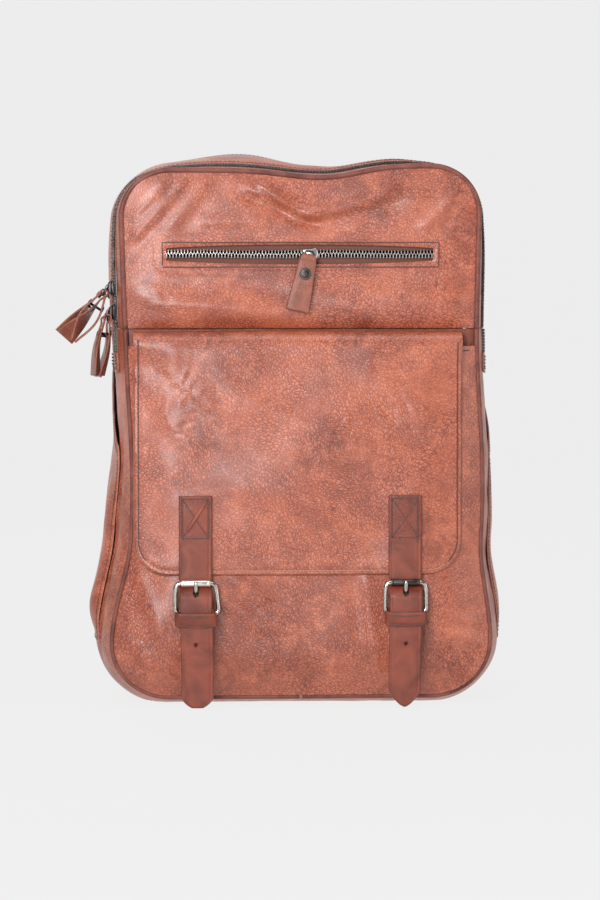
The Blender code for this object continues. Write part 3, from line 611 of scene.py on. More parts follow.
def stitches(name, rows, body, material=None, pitch=0.0031, long=0.0016, thick=0.0008):
    """Rows of stitches; each row holds (place, direction out) pairs."""
    bm = bmesh.new()
    for row in rows:
        # A dark ribbon of painted shade under the row.
        painted_channel_shade(bm, row)
        places = [p for p, _ in row]
        lengths = lengths_of(places)
        total, i = lengths[-1], 0
        count = max(1, round(total / pitch))
        spread = total / count
        for number in range(count):
            ends = []
            for want in (number * spread, number * spread + long):
                while i < len(row) - 2 and lengths[i + 1] < want:
                    i += 1
                span = lengths[i + 1] - lengths[i]
                ends.append(places[i].lerp(places[i + 1], (want - lengths[i]) / span if span else 0.0))
            out = row[i][1]
            stitch(bm, ends[0] + out * 0.0001, ends[1] + out * 0.0001, out, thick)
    bmesh.ops.recalc_face_normals(bm, faces=bm.faces)
    return piece(name, bm, (material or THREAD, PAINTED_SHADE), body, ())


def on_surface(surface, places, lift=0.0):
    """(place, direction out) pairs on a surface of two parameters, seen from outside."""
    found = []
    step = 0.0006
    for a, b in places:
        across = surface(a + step, b) - surface(a - step, b)
        up = surface(a, b + step) - surface(a, b - step)
        out = across.cross(up).normalized()
        found.append((surface(a, b) + out * lift, out))
    return found


def polyline(corners, step=0.002):
    """Points a step apart along straight lines between corners."""
    found = []
    for (a, b), (c, d) in zip(corners, corners[1:]):
        count = max(1, round(math.hypot(c - a, d - b) / step))
        found += [(a + (c - a) * i / count, b + (d - b) * i / count) for i in range(count)]
    return found + [corners[-1]]


def tooth(bm, root, along, side, out, reach, wide, thick):
    """A zip tooth that reaches from its tape's edge past the middle of the chain."""
    rings = []
    for at, w, t in ((0.0, 1.0, 0.8), (0.35, 0.85, 1.0), (0.85, 0.85, 1.0), (1.0, 0.6, 0.7)):
        middle = root - side * reach * at
        rings.append([
            bm.verts.new(middle + along * wide * w * a / 2 + out * thick * t * o)
            for a, o in ((-1, 0), (1, 0), (1, 0.75), (0.6, 1), (-0.6, 1), (-1, 0.75))
        ])
    for low, high in zip(rings, rings[1:]):
        for j in range(6):
            k = (j + 1) % 6
            bm.faces.new((low[j], low[k], high[k], high[j]))
    bm.faces.new(list(reversed(rings[0])))
    bm.faces.new(rings[-1])


# ---------------------------------------------------------------- the leather's surfaces


def fold(x, z, start, end, width, height):
    """A crease: a ridge with a hollow beside it."""
    dx, dz = end[0] - start[0], end[1] - start[1]
    length = math.hypot(dx, dz)
    share = ((x - start[0]) * dx + (z - start[1]) * dz) / length**2
    side = ((x - start[0]) * -dz + (z - start[1]) * dx) / length
    past = max(-share, share - 1, 0.0) * length
    fade = bell(past, 0, width * 2.2)
    return height * fade * (bell(side, 0, width) - 0.6 * bell(side, -1.7 * width, width))


def slack(x, y, z, broad, close, seed):
    """The gentle ups and downs of leather that isn't stretched."""
    place = Vector((x, y, z))
    wide = noise.noise(place * 17 + Vector((seed, 0, 0)))
    near = noise.noise(place * 52 + Vector((0, seed, 0)))
    return broad * wide + close * near


def crinkle(x, z, centre, size, height, seed, scale=120):
    """A patch of small wrinkles that cross one another."""
    away = math.hypot((x - centre[0]) / size[0], (z - centre[1]) / size[1])
    if away > 2:
        return 0.0
    place = Vector((x * scale, seed, z * scale))
    ridge = 1 - 2.2 * abs(noise.noise(place + noise.noise_vector(place * 0.5) * 0.8))
    return height * bell(away, 0, 1) * ridge


WINDOW_X0, WINDOW_X1 = zip_low.x - 0.0004, zip_high.x + 0.0004
MOUTH_END, MOUTH_MORE, MOUTH_EASE = 0.00465, 0.0030, 0.025
SEWN_IN = PIPING_R * 0.55


def mouth(x):
    """Half the height of the front zip's opening."""
    share = (x - WINDOW_X0) / (WINDOW_X1 - WINDOW_X0)
    return MOUTH_END + MOUTH_MORE * math.sin(math.pi * min(max(share, 0.0), 1.0)) ** 0.7


def upper_depth(x, z):
    near = ramp((HALF_WIDTH - abs(x)) / UPPER_EASE) * ramp((Z_TOP - z) / UPPER_EASE)
    over_flap = 0.0030 * bell(z, 0.3080, 0.0120)
    return Y_FRONT - 0.0004 - near * (UPPER_BULGE * ramp((z - Z_SEAM) / 0.0120) + over_flap)


UPPER_FOLDS = (
    ((-0.0290, 0.4040), (-0.0135, 0.3925), 0.0032, 0.0024),
    ((-0.0320, 0.3990), (0.0080, 0.3835), 0.0046, 0.0030),
    ((0.0080, 0.3835), (0.0650, 0.3950), 0.0052, 0.0028),
    ((-0.1300, 0.3640), (-0.0940, 0.4020), 0.0052, 0.0010),
    ((-0.1290, 0.3800), (-0.1080, 0.4010), 0.0040, 0.0008),
    ((-0.1020, 0.3700), (-0.0760, 0.4080), 0.0064, 0.0008),
    ((0.0980, 0.3720), (0.1220, 0.3930), 0.0050, 0.0013),
    ((-0.1180, 0.3180), (-0.0400, 0.3060), 0.0075, 0.0012),
    ((0.0300, 0.3240), (0.1080, 0.3160), 0.0085, 0.0010),
    ((-0.0150, 0.3300), (0.0420, 0.3100), 0.0075, 0.0008),
    ((-0.0700, 0.3740), (-0.0100, 0.3700), 0.0070, 0.0008),
)


def upper_relief(x, z):
    sewn = ramp((0.1340 - abs(x)) / 0.012) * ramp((Z_TOP - 0.004 - z) / 0.010)
    beyond = max(WINDOW_X0 - x, x - WINDOW_X1, 0.0)
    from_mouth = math.hypot(max(abs(z - ZIP_Z) - mouth(x), 0.0), beyond)
    free = smooth((from_mouth - 0.006) / 0.014)
    height = sum(fold(x, z, *line) for line in UPPER_FOLDS)
    height += slack(x, 0.0, z, 0.0009, 0.00030, 3.1)
    height += crinkle(x, z, (-0.095, 0.305), (0.034, 0.018), 0.00035, 7.0)
    height += crinkle(x, z, (0.128, 0.372), (0.010, 0.030), 0.00035, 2.0)
    welt = 0.0009 * bell(from_mouth, 0.0030, 0.0018) + 0.0004 * bell(from_mouth, 0.0075, 0.0025)
    return height * sewn * free + welt


def upper_point(x, z):
    """The upper front: x runs across the plain outline; the panel sags above its zip."""
    high = smooth((z - ZIP_Z - 0.006) / (Z_TOP - ZIP_Z - 0.012))
    wide = settle(x, z)[0]
    return Vector((wide, upper_depth(x, z) - upper_relief(wide, z), z + sag(x) * high))


POCKET_FOLDS = (
    ((-0.0690, 0.1120), (-0.0330, 0.0850), 0.0060, 0.0010),
    ((-0.0660, 0.0890), (-0.0300, 0.0640), 0.0070, 0.0011),
    ((0.1130, 0.0590), (0.1400, 0.0480), 0.0030, 0.0012),
    ((0.1150, 0.0500), (0.1420, 0.0405), 0.0028, 0.0012),
    ((0.1120, 0.0700), (0.1380, 0.0640), 0.0030, 0.0009),
    ((0.0500, 0.0950), (0.0570, 0.0300), 0.0060, 0.0014),
    ((-0.0200, 0.0350), (0.0420, 0.0290), 0.0080, 0.0009),
    ((-0.1290, 0.1100), (-0.1120, 0.0650), 0.0060, 0.0012),
    ((-0.1400, 0.0550), (-0.1050, 0.0250), 0.0060, 0.0012),
)


def pocket_depth(x, z):
    near = ramp((HALF_WIDTH - abs(x)) / POCKET_EASE) * ramp((z - Z_BOTTOM) / POCKET_EASE)
    return Y_FRONT - 0.0022 - POCKET_BULGE * near


def pocket_point(x, z):
    """The patch pocket on the lower front."""
    wide, high = settle(x, z)
    sewn = ramp((HALF_WIDTH - abs(x)) / 0.014) * ramp((z - Z_BOTTOM - 0.001) / 0.014)
    relief = sum(fold(wide, high, *line) for line in POCKET_FOLDS)
    relief += slack(wide, 0.0, high, 0.0011, 0.00035, 9.4)
    relief += crinkle(wide, high, (-0.115, 0.042), (0.024, 0.016), 0.0006, 4.0)
    relief += crinkle(wide, high, (0.128, 0.052), (0.014, 0.012), 0.0004, 6.0)
    covered = smooth((FLAP_LOW + 0.012 - high) / 0.02)
    return Vector((wide, pocket_depth(x, z) - relief * sewn * (0.25 + 0.75 * covered), high))


FLAP_EDGE = 0.0038
EDGE_DROP = 0.0068
FLAP_FOLDS = (
    ((-0.1160, 0.2780), (-0.0760, 0.2380), 0.0055, 0.0004),
    ((-0.1200, 0.2480), (-0.0900, 0.2050), 0.0065, 0.0004),
    ((-0.0980, 0.2840), (-0.0600, 0.2560), 0.0050, 0.0003),
    ((-0.0300, 0.2300), (0.0450, 0.2050), 0.0100, 0.0007),
    ((0.0550, 0.2600), (0.1000, 0.2200), 0.0110, 0.0008),
    ((-0.0400, 0.1700), (0.0500, 0.1500), 0.0120, 0.0007),
    ((0.0640, 0.2290), (0.0690, 0.2230), 0.0028, -0.0007),
    ((0.0760, 0.2400), (0.0800, 0.2330), 0.0026, -0.0006),
)


def flap_rim(x, z):
    """How far a point of the flap is from its side or bottom edge."""
    side = FLAP_HALF - abs(x - FLAP_X)
    low = z - FLAP_LOW
    if side < FLAP_R and low < FLAP_R:
        return FLAP_R - math.hypot(FLAP_R - side, FLAP_R - low)
    return min(side, low)


def flap_relief(x, z):
    rim = flap_rim(x, z)
    calm = 1 - 0.85 * max(bell(x, STRAP_X[s], 0.017) for s in STRAP_X) * smooth((0.175 - z) / 0.02)
    height = sum(fold(x, z, *line) for line in FLAP_FOLDS)
    height += slack(x, 0.0, z, 0.0010, 0.00016, 5.7)
    height += 0.0034 * bell(x, -0.010, 0.085) * bell(z, 0.185, 0.075) - 0.0022
    height += crinkle(x, z, (-0.092, 0.240), (0.030, 0.045), 0.00030, 1.0, 95)
    height += crinkle(x, z, (0.060, 0.215), (0.050, 0.040), 0.00018, 8.0, 95)
    height *= ramp(rim / 0.020) * calm
    groove = -0.0004 * bell(rim, FLAP_EDGE, 0.0014) - 0.0022 * (1 - ramp(rim / 0.0018))
    side = FLAP_HALF - abs(x - FLAP_X)
    drop = EDGE_DROP * (1 - ramp(side / 0.036)) + 0.0010 * (1 - ramp((z - FLAP_LOW) / 0.012))
    return height + groove - drop


def flap_bend():
    """The flap's profile from its seam, over the fold, to where it hangs straight."""
    top = 0.2906
    bend = [
        (FLAP_X, -0.0618, top + 0.0002),
        (FLAP_X, -0.0660, top + 0.0004),
        (FLAP_X, -0.0725, top - 0.0012),
        (FLAP_X, FLAP_FRONT + 0.0034, top - 0.0054),
        (FLAP_X, FLAP_FRONT + 0.0008, top - 0.0115),
        (FLAP_X, FLAP_FRONT, top - 0.0200),
        (FLAP_X, FLAP_FRONT, top - 0.0280),
    ]
    return smooth_path(bend, 4)


def flap_point(x, z):
    """The flap's hanging face, for stitches and what is sewn on it."""
    return Vector((x, FLAP_FRONT - flap_relief(x, z), z))


def flap_face(x, z):
    """The flap's outside from its bottom edge up into the roll towards its seam."""
    bend = flap_bend()
    low = bend[-1].z
    if z <= low:
        return flap_point(x, z)
    lengths = lengths_of(bend)
    for a, b, length, after in zip(bend, bend[1:], lengths, lengths[1:]):
        if b.z < z <= a.z:
            part = (a.z - z) / (a.z - b.z)
            share = (length + (after - length) * part) / lengths[-1]
            relief = flap_relief(x, low) * smooth((share - 0.25) / 0.75)
            return Vector((x, a.y + (b.y - a.y) * part - relief, z))
    return flap_point(x, z)


def gusset_relief(along, y, seed):
    """Rolls and dents of the gusset's leather; along runs round the outline."""
    share = (y - Y_FRONT) / DEPTH
    free = ramp(share / 0.10) * ramp((1 - share) / 0.10)
    place = Vector((along * 22, y * 40, seed))
    return free * (0.0011 * noise.noise(place) + 0.0004 * noise.noise(place * 3.1))


# ---------------------------------------------------------------- panels


def stops_between(marks, scale, step):
    """Places that meet every mark, about a step apart once scaled."""
    found = [marks[0]]
    for a, b in zip(marks, marks[1:]):
        found += evenly(a, b, max(1, round((b - a) * scale / step)))[1:]
    return found


def plain_x(x, z):
    """Undoes settle() for a place across the front."""
    off = settle(0.0, z)[0]
    return (x - off) / (settle(1.0, z)[0] - off)


def upper_front():
    wide = HALF_WIDTH - SEWN_IN
    marks = [plain_x(x, ZIP_Z) / wide for x in (WINDOW_X0, WINDOW_X1)]
    across = stops_between([-1.0, *marks, 1.0], wide, 0.0016)
    first, last = across.index(marks[0]), across.index(marks[1])
    low, high, corner = ZIP_Z - MOUTH_END, ZIP_Z + MOUTH_END, Z_TOP - R_TOP
    heights = stops_between([Z_SEAM + 0.0004, low, high, corner], 1, 0.0016)
    bottom, top = heights.index(low), heights.index(high)
    radius = R_TOP - SEWN_IN
    heights += [z for _, z in arc(0, corner, radius, 0, 90, 26)[1:]]
    rows = []
    for z in heights:
        row = []
        for u in across:
            x = u * half_width(z, SEWN_IN)
            away = abs(z - ZIP_Z) - MOUTH_END
            ease = max(0.0, 1 - max(away, 0.0) / MOUTH_EASE)
            more = mouth(settle(x, z)[0]) - MOUTH_END
            row.append(upper_point(x, z + math.copysign(more * ease, z - ZIP_Z)))
        rows.append(row)

    def window(i, j):
        return bottom <= i < top and first <= j < last

    skin("upper_front", rows, 0.0020, "cover", ["front_panel_upper"], skip=window, rim=0.0008)
    frame_low, frame_high = 0.3399 - ZIP_Z, 0.3588 - ZIP_Z
    left, right = plain_x(-0.1072, ZIP_Z), plain_x(0.1064, ZIP_Z)
    corners = [(left, ZIP_Z + frame_low), (right, ZIP_Z + frame_low), (right, ZIP_Z + frame_high),
               (left, ZIP_Z + frame_high), (left, ZIP_Z + frame_low)]
    row = on_surface(upper_point, polyline(corners))
    stitches("upper_front_stitches", [row], "cover", pitch=0.0029, long=0.0016)


def outline_frame(outline):
    """Each point of an outline with the direction that it grows in."""
    step = 0.001
    return [
        (x, z, (fx - x) / step, (fz - z) / step)
        for (x, z), (fx, fz) in zip(outline(0.0), outline(step))
    ]


def side_pocket_share(y, z):
    across = ramp((y - POCKET_Y0) / 0.018) * ramp((POCKET_Y1 - y) / 0.018)
    return across * ramp((z - POCKET_Z0) / 0.030)


POCKET_Y0, POCKET_Y1, POCKET_Z0 = -0.030, 0.053, 0.055
POCKET_Z_FRONT, POCKET_Z_BACK = 0.200, 0.268
PUFF = {"left": 0.0052, "right": 0.0022}


def wall_rows(outline, ys, inset=0.0, relief=None):
    """Rows round an outline, across the depth of the bag."""
    rows = []
    for i, (x, z, gx, gz) in enumerate(outline_frame(outline)):
        row = []
        for y in ys:
            g = swell(y) * fullness(x, z) - inset + (relief(x, y, z) if relief else 0.0)
            row.append(placed(x + gx * g, y, z + gz * g))
        rows.append(row)
    return rows


def hump(x, y, z):
    """The padded top stands up over the laptop compartment, and sinks along the front zip."""
    padded = 0.0056 * bell(x, -0.040, 0.036) * bell(y, 0.032, 0.034)
    sunk = 0.0026 * bell(y, -0.038, 0.016) + 0.0030 * smooth((x - 0.01) / 0.03) * smooth((y + 0.03) / 0.03)
    return (padded - sunk) * smooth((z - 0.37) / 0.04) * smooth((0.128 - abs(x)) / 0.02) * ramp((Y_BACK - y) / 0.02)


def strip_relief(x, y, z):
    return 0.6 * gusset_relief(math.atan2(x, z - 0.2) * 0.16, y, 2.5) + hump(x, y, z)


def slump(x, y, z):
    """The lower left wall is fuller than the right one, with a crease down its slip pocket's edge."""
    if x > 0:
        return 0.0
    crease = 0.0026 * bell(y, -0.0345, 0.0034) * smooth((0.225 - z) / 0.03) * smooth((z - 0.03) / 0.03)
    return 0.0046 * bell(z, 0.120, 0.062) * ramp((y - Y_FRONT) / 0.030) * ramp((Y_BACK - y) / 0.030) - crease


def lower_relief(x, y, z):
    relief = gusset_relief(math.atan2(x, z - 0.2) * 0.2, y, 6.5) + slump(x, y, z)
    if z > Z_CORNER:
        relief -= 0.0016 * side_pocket_share(y, z) * ramp((0.285 - z) / 0.030)
        fine = noise.noise(Vector((x * 10, y * 22, z * 48)))
        relief += 0.0007 * fine * ramp((y - Y_FRONT) / 0.012)
    return relief


ZIP_HALF = 0.0070
STRIPS = (
    ("front_strip", Y_FRONT + 0.0012, Y_MAIN - ZIP_HALF, 5, ["front_zip_strip"]),
    ("middle_strip", Y_MAIN + ZIP_HALF, Y_LAPTOP - ZIP_HALF, 18, ["middle_zip_strip"]),
    ("rear_strip", Y_LAPTOP + ZIP_HALF, Y_BACK - 0.0012, 5, ["rear_zip_strip"]),
)


def across_cover(obj):
    """Makes a piece's modifiers and its placement part of its mesh."""
    made_final(obj)
    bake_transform(obj)


def gussets():
    for name, y0, y1, steps, nodes in STRIPS:
        foot = Z_SEAM + 0.0002 if name == "front_strip" else Z_SEAM - 0.0004
        rows = wall_rows(lambda g: arch(foot, g), evenly(y0, y1, steps), 0.0, strip_relief)
        rides = None if name == "front_strip" else "bag"
        obj = skin(name, rows, 0.0022, rides, nodes, (GUSSET, LINING, EDGE_PAINT))
        if not rides:
            across_cover(obj)
        edges = {"front_strip": [y1 - 0.0022], "middle_strip": [y0 + 0.0022, y1 - 0.0022]}
        seams = []
        for y in edges.get(name, [y0 + 0.0022]):
            seams.append(round_row(lambda g: arch(Z_COVER + 0.024 * (y < Y_MAIN), g), y, strip_relief))
        stitches(f"{name}_stitches", seams, "cover" if y1 < Y_MAIN else "bag", pitch=0.0034)
    ys = evenly(Y_FRONT + 0.0012, Y_BACK - 0.0012, 40)
    rows = wall_rows(lambda g: trough(Z_SEAM, g), ys, 0.0, lower_relief)
    nodes = ["base_panel", "side_gusset_left", "side_gusset_right"]
    skin("lower_gusset", rows, 0.0022, "bag", nodes, (GUSSET, LINING, EDGE_PAINT))


def round_row(outline, y, relief, lift=0.0):
    """(place, direction out) pairs round an outline at one depth."""
    found = []
    for x, z, gx, gz in outline_frame(outline):
        g = swell(y) * fullness(x, z) + lift + (relief(x, y, z) if relief else 0.0)
        found.append((placed(x + gx * g, y, z + gz * g), Vector((gx, 0, gz)).normalized()))
    return found


def side_pockets():
    for side, sign in (("left", -1), ("right", 1)):
        ys, rows = evenly(POCKET_Y0, POCKET_Y1, 34), []

        def point(share, y):
            back = (y - POCKET_Y0) / (POCKET_Y1 - POCKET_Y0)
            top = POCKET_Z_FRONT + (POCKET_Z_BACK - POCKET_Z_FRONT) * back
            z = POCKET_Z0 - 0.008 + (top - POCKET_Z0 + 0.008) * share
            puff = PUFF[side] * side_pocket_share(y, z) * (1 - 0.95 * smooth((share - 0.50) / 0.42))
            puff += slump(sign, y, z)
            puff += 0.4 * gusset_relief(math.atan2(sign * HALF_WIDTH, z - 0.2) * 0.2, y, 6.5)
            roll = noise.noise(Vector((y * 30, sign * 3, z * 26))) * 0.0012 * side_pocket_share(y, z)
            roll *= 1 - smooth((share - 0.70) / 0.25)
            out = swell(y) + 0.0004 + 0.0012 * ramp(share / 0.15) + puff + roll + 0.0004 * bell(share, 1, 0.03)
            return placed(sign * (HALF_WIDTH + out), y, z)

        rows = [[point(share, y) for y in ys] for share in evenly(0, 1, 80)]
        if side == "left":
            rows.reverse()
        skin(f"side_slip_pocket_{side}", rows, 0.0014, "bag", [f"side_pocket_{side}"],
             (GUSSET, LINING, EDGE_PAINT))
        out = Vector((sign, 0, 0))
        seams = [[(point(share, y), out) for y in evenly(POCKET_Y0 + 0.001, POCKET_Y1 - 0.001, 30)]
                 for share in (0.965, 0.945)]
        seams += [[(point(share, y), out) for share in evenly(0.02, 0.93, 60)]
                  for y in (POCKET_Y0 + 0.0024, POCKET_Y1 - 0.0024)]
        seams.append([(point(0.012, y), out) for y in evenly(POCKET_Y0 + 0.002, POCKET_Y1 - 0.002, 30)])
        stitches(f"side_slip_pocket_{side}_stitches", seams, "bag", pitch=0.0034)


def pocket_heights(z0, z1, step):
    corner, radius = Z_BOTTOM + R_BOTTOM, R_BOTTOM - SEWN_IN
    low = [z for _, z in arc(0, corner, radius, -90, 0, 30)][:-1]
    return low + evenly(corner, z1, round((z1 - corner) / step))


def patch_pocket():
    step = 0.0017
    across = evenly(-1, 1, 160)
    heights = pocket_heights(Z_BOTTOM, Z_HEM, step)
    rows = [[pocket_point(u * half_width(z, SEWN_IN), z) for u in across] for z in heights]
    skin("patch_pocket", rows, 0.0018, "bag", ["pocket_panel"])
    hem = on_surface(pocket_point, polyline([(-0.131, Z_HEM - 0.0036), (0.131, Z_HEM - 0.0036)]))
    stitches("patch_pocket_stitches", [hem], "bag")
    heights = pocket_heights(Z_BOTTOM, Z_SEAM, 0.004)
    rows = []
    for z in heights:
        w = half_width(z, SEWN_IN)
        rows.append([placed(u * w, Y_FRONT + 0.0008, z) for u in evenly(-1, 1, 60)])
    # The backing takes the darker strap leather as painted shade, for it shows only in the shadowed corners beside
    # the pocket.
    skin("pocket_backing", rows, 0.0018, "bag", ["front_panel_lower"], (STRAP, LINING, EDGE_PAINT))


def piping_tube(name, points, y, body, nodes, closed=False, seed=0.0):
    path = [placed(x, y, z, floor=PIPING_R) for x, z in points]
    path = evened(path + path[:1] if closed else path, 0.0030)
    if closed:
        path = path[:-1]
    bm = bmesh.new()
    sweep(bm, path, lambda share: [
        (a * (1 + 0.05 * noise.noise(Vector((share * 90, a * 300, seed)))), o, 0)
        for a, o, _ in round_section(PIPING_R, 12)(share)
    ], (0, 1, 0), closed)
    return piece(name, bm, (PIPING,), body, nodes)


def pipings():
    piping_tube("front_cord_upper", arch(Z_SEAM + 0.0002, 0), Y_FRONT, "cover", ["front_piping_upper"])
    piping_tube("front_cord_lower", trough(Z_SEAM, 0), Y_FRONT, "bag", ["front_piping_lower"], seed=4.0)
    whole = arch(Z_SEAM, 0) + trough(Z_SEAM, 0)[1:-1]
    piping_tube("rear_cord", whole, Y_BACK, "bag", ["back_piping"], True, 8.0)
    bm = bmesh.new()
    middle = placed(0, Y_FRONT, Z_BOTTOM, floor=PIPING_R)
    path = [middle + Vector((x, 0, 0)) for x in (-0.0011, -0.0007, 0.0007, 0.0011)]
    sweep(bm, path, round_section(lambda share: PIPING_R * (1.0 + 0.10 * math.sin(math.pi * share)), 18))
    piece("piping_join", bm, (EDGE_PAINT,), "bag", ())


# ---------------------------------------------------------------- zips


def teeth_piece(name, chain, side, body, nodes=(), offset=0.0, pitch=0.0023, reach=0.0034, material=None):
    """One half of a zip's teeth. chain holds (place, direction out) along the zip's middle."""
    bm = bmesh.new()
    places = [p for p, _ in chain]
    lengths = lengths_of(places)
    count = int((lengths[-1] - 0.0012) / pitch)
    i = 0
    for number in range(count):
        want = 0.0006 + (number + offset) * pitch
        while i < len(chain) - 2 and lengths[i + 1] < want:
            i += 1
        share = min((want - lengths[i]) / (lengths[i + 1] - lengths[i]), 1.0)
        place = places[i].lerp(places[i + 1], share)
        along = (places[i + 1] - places[i]).normalized()
        out = chain[i][1]
        away = Vector(side) if side is not None else along.cross(out)
        root = place + away * (reach - 0.0006)
        tooth(bm, root, along, away, out, reach, pitch * 0.50, 0.0019)
    bmesh.ops.recalc_face_normals(bm, faces=bm.faces)
    obj = piece(name, bm, (material or DARK_NICKEL,), body, nodes)
    obj.data.set_sharp_from_angle(angle=math.radians(30))
    return obj


def tape_piece(name, outline, y0, y1, inset, body, nodes=(), steps=3, relief=strip_relief):
    rows = wall_rows(outline, evenly(y0, y1, steps), inset, relief)
    return skin(name, rows, 0.0009, body, nodes, (TAPE, TAPE, TAPE), "zip_tape", rim=0.0002)


TUCK, TAPE_EDGE, SUNK = 0.0080, 0.0021, 0.0010
ZIP_END = 0.2710


def arched_zips():
    upper = lambda g: arch(Z_SEAM + 0.0002, g)
    front = tape_piece("main_tape_front", upper, Y_MAIN - TUCK, Y_MAIN - TAPE_EDGE, SUNK, None,
                       ["main_zip_half_front"])
    across_cover(front)
    tape_piece("main_tape_rear", upper, Y_MAIN + TAPE_EDGE, Y_MAIN + TUCK, SUNK, "bag", ["main_zip_half_rear"])
    tape_piece("laptop_tape", upper, Y_LAPTOP - TUCK, Y_LAPTOP + TUCK, SUNK, "bag", ["laptop_zip"], 6)
    chain = round_row(upper, Y_MAIN, strip_relief, -SUNK + 0.0002)
    across_cover(teeth_piece("main_teeth_front", chain, (0, -1, 0), None))
    teeth_piece("main_teeth_rear", chain, (0, 1, 0), "bag", (), 0.5)
    chain = round_row(upper, Y_LAPTOP, strip_relief, -SUNK + 0.0002)
    for name, side, offset in (("front", -1, 0.0), ("rear", 1, 0.5)):
        teeth_piece(f"laptop_teeth_{name}", chain, (0, side, 0), "bag", (), offset)
    for side, sign in (("left", -1), ("right", 1)):
        for zip_name, y in (("main", Y_MAIN), ("laptop", Y_LAPTOP)):
            zip_end(f"{zip_name}_zip_end_{side}", sign, y)


def zip_end(name, sign, y):
    """The last of a zip below the seam, with its leather end tab."""

    def wall(dy, z, lift):
        relief = lower_relief(sign * HALF_WIDTH, y + dy, z)
        return placed(sign * (HALF_WIDTH + swell(y + dy) + lift + relief), y + dy, z)

    out = Vector((sign, 0, 0))
    chain = [(wall(0, z, 0.0004), out) for z in evenly(Z_SEAM - 0.0006, ZIP_END, 12)]
    teeth_piece(f"{name}_teeth_a", chain, (0, -1, 0), "bag")
    teeth_piece(f"{name}_teeth_b", chain, (0, 1, 0), "bag", (), 0.5)
    rows = [[wall(dy, z, 0.0003) for dy in evenly(-0.0062, 0.0062, 6)]
            for z in evenly(ZIP_END - 0.002, Z_SEAM - 0.0004, 8)]
    if sign < 0:
        rows.reverse()
    skin(f"{name}_tape", rows, 0.0006, "bag", (), (TAPE, TAPE, TAPE), "zip_tape", rim=0.0001)
    rows = []
    for share in evenly(0, 1, 12):
        z = ZIP_END - 0.0140 + 0.0165 * share
        half = 0.0072 * math.sqrt(max(1 - (1 - min(share / 0.25, 1.0)) ** 2, 0.02))
        rows.append([wall(half * u, z, 0.0017 + 0.0005 * (1 - u * u)) for u in evenly(-1, 1, 6)])
    if sign < 0:
        rows.reverse()
    skin(f"{name}_tab", rows, 0.0014, "bag", (), (LEATHER, LEATHER, EDGE_PAINT), rim=0.0004)
    loop = [(wall(dy, z, 0.0024), out) for dy, z in polyline(
        [(-0.0050, ZIP_END), (-0.0050, ZIP_END - 0.0105), (0.0050, ZIP_END - 0.0105), (0.0050, ZIP_END)], 0.001)]
    stitches(f"{name}_tab_stitches", [loop], "bag", pitch=0.0026, long=0.0018)


def slider_shape(bm, place, out, along):
    """A zip slider: a waisted body that holds the teeth, and the bridge that its ring hangs from."""
    side = along.cross(out)

    def at(a, s, o):
        return place + along * a + side * s + out * o

    outline = [(-0.0060, 0.0026), (-0.0052, 0.0034), (-0.0015, 0.0036), (0.0015, 0.0042), (0.0045, 0.0043),
               (0.0058, 0.0034), (0.0062, 0.0012)]
    outline += [(a, -s) for a, s in reversed(outline)]
    rings = []
    for height, grow in ((-0.0012, 0.90), (-0.0009, 1.0), (0.0005, 1.0), (0.0010, 0.94), (0.0012, 0.82)):
        rings.append([at(a * grow, s * grow, height) for a, s in outline])
    verts = grid(bm, rings, closed=True)
    bm.faces.new(list(reversed(verts[0])))
    bm.faces.new(verts[-1])
    bridge = [at(a, 0, o) for a, o in ((-0.0046, 0.0006), (-0.0044, 0.0016), (-0.0030, 0.0026), (0.0, 0.0030),
                                       (0.0026, 0.0026), (0.0038, 0.0016), (0.0040, 0.0006))]
    half, thick = 0.0011, 0.0008
    sweep(bm, smooth_path(bridge, 3), lambda share: [
        (half, -thick * 0.2, 0), (half * 0.7, 0, 0), (-half * 0.7, 0, 0), (-half, -thick * 0.2, 0),
        (-half, -thick, 0), (half, -thick, 0)
    ], side)


def ring_path(centre, down, across, out, half, long, bow=0.0):
    """A wire ring: a rounded loop that hangs down from its centre's top."""
    found = []
    for i in range(28):
        a = 2 * math.pi * i / 28
        s, c = math.sin(a), math.cos(a)
        wide = half * (abs(s) ** 0.8) * math.copysign(1, s)
        found.append(centre + across * wide + down * (long / 2 - c * long / 2) + out * bow * (1 - c) / 2)
    return found


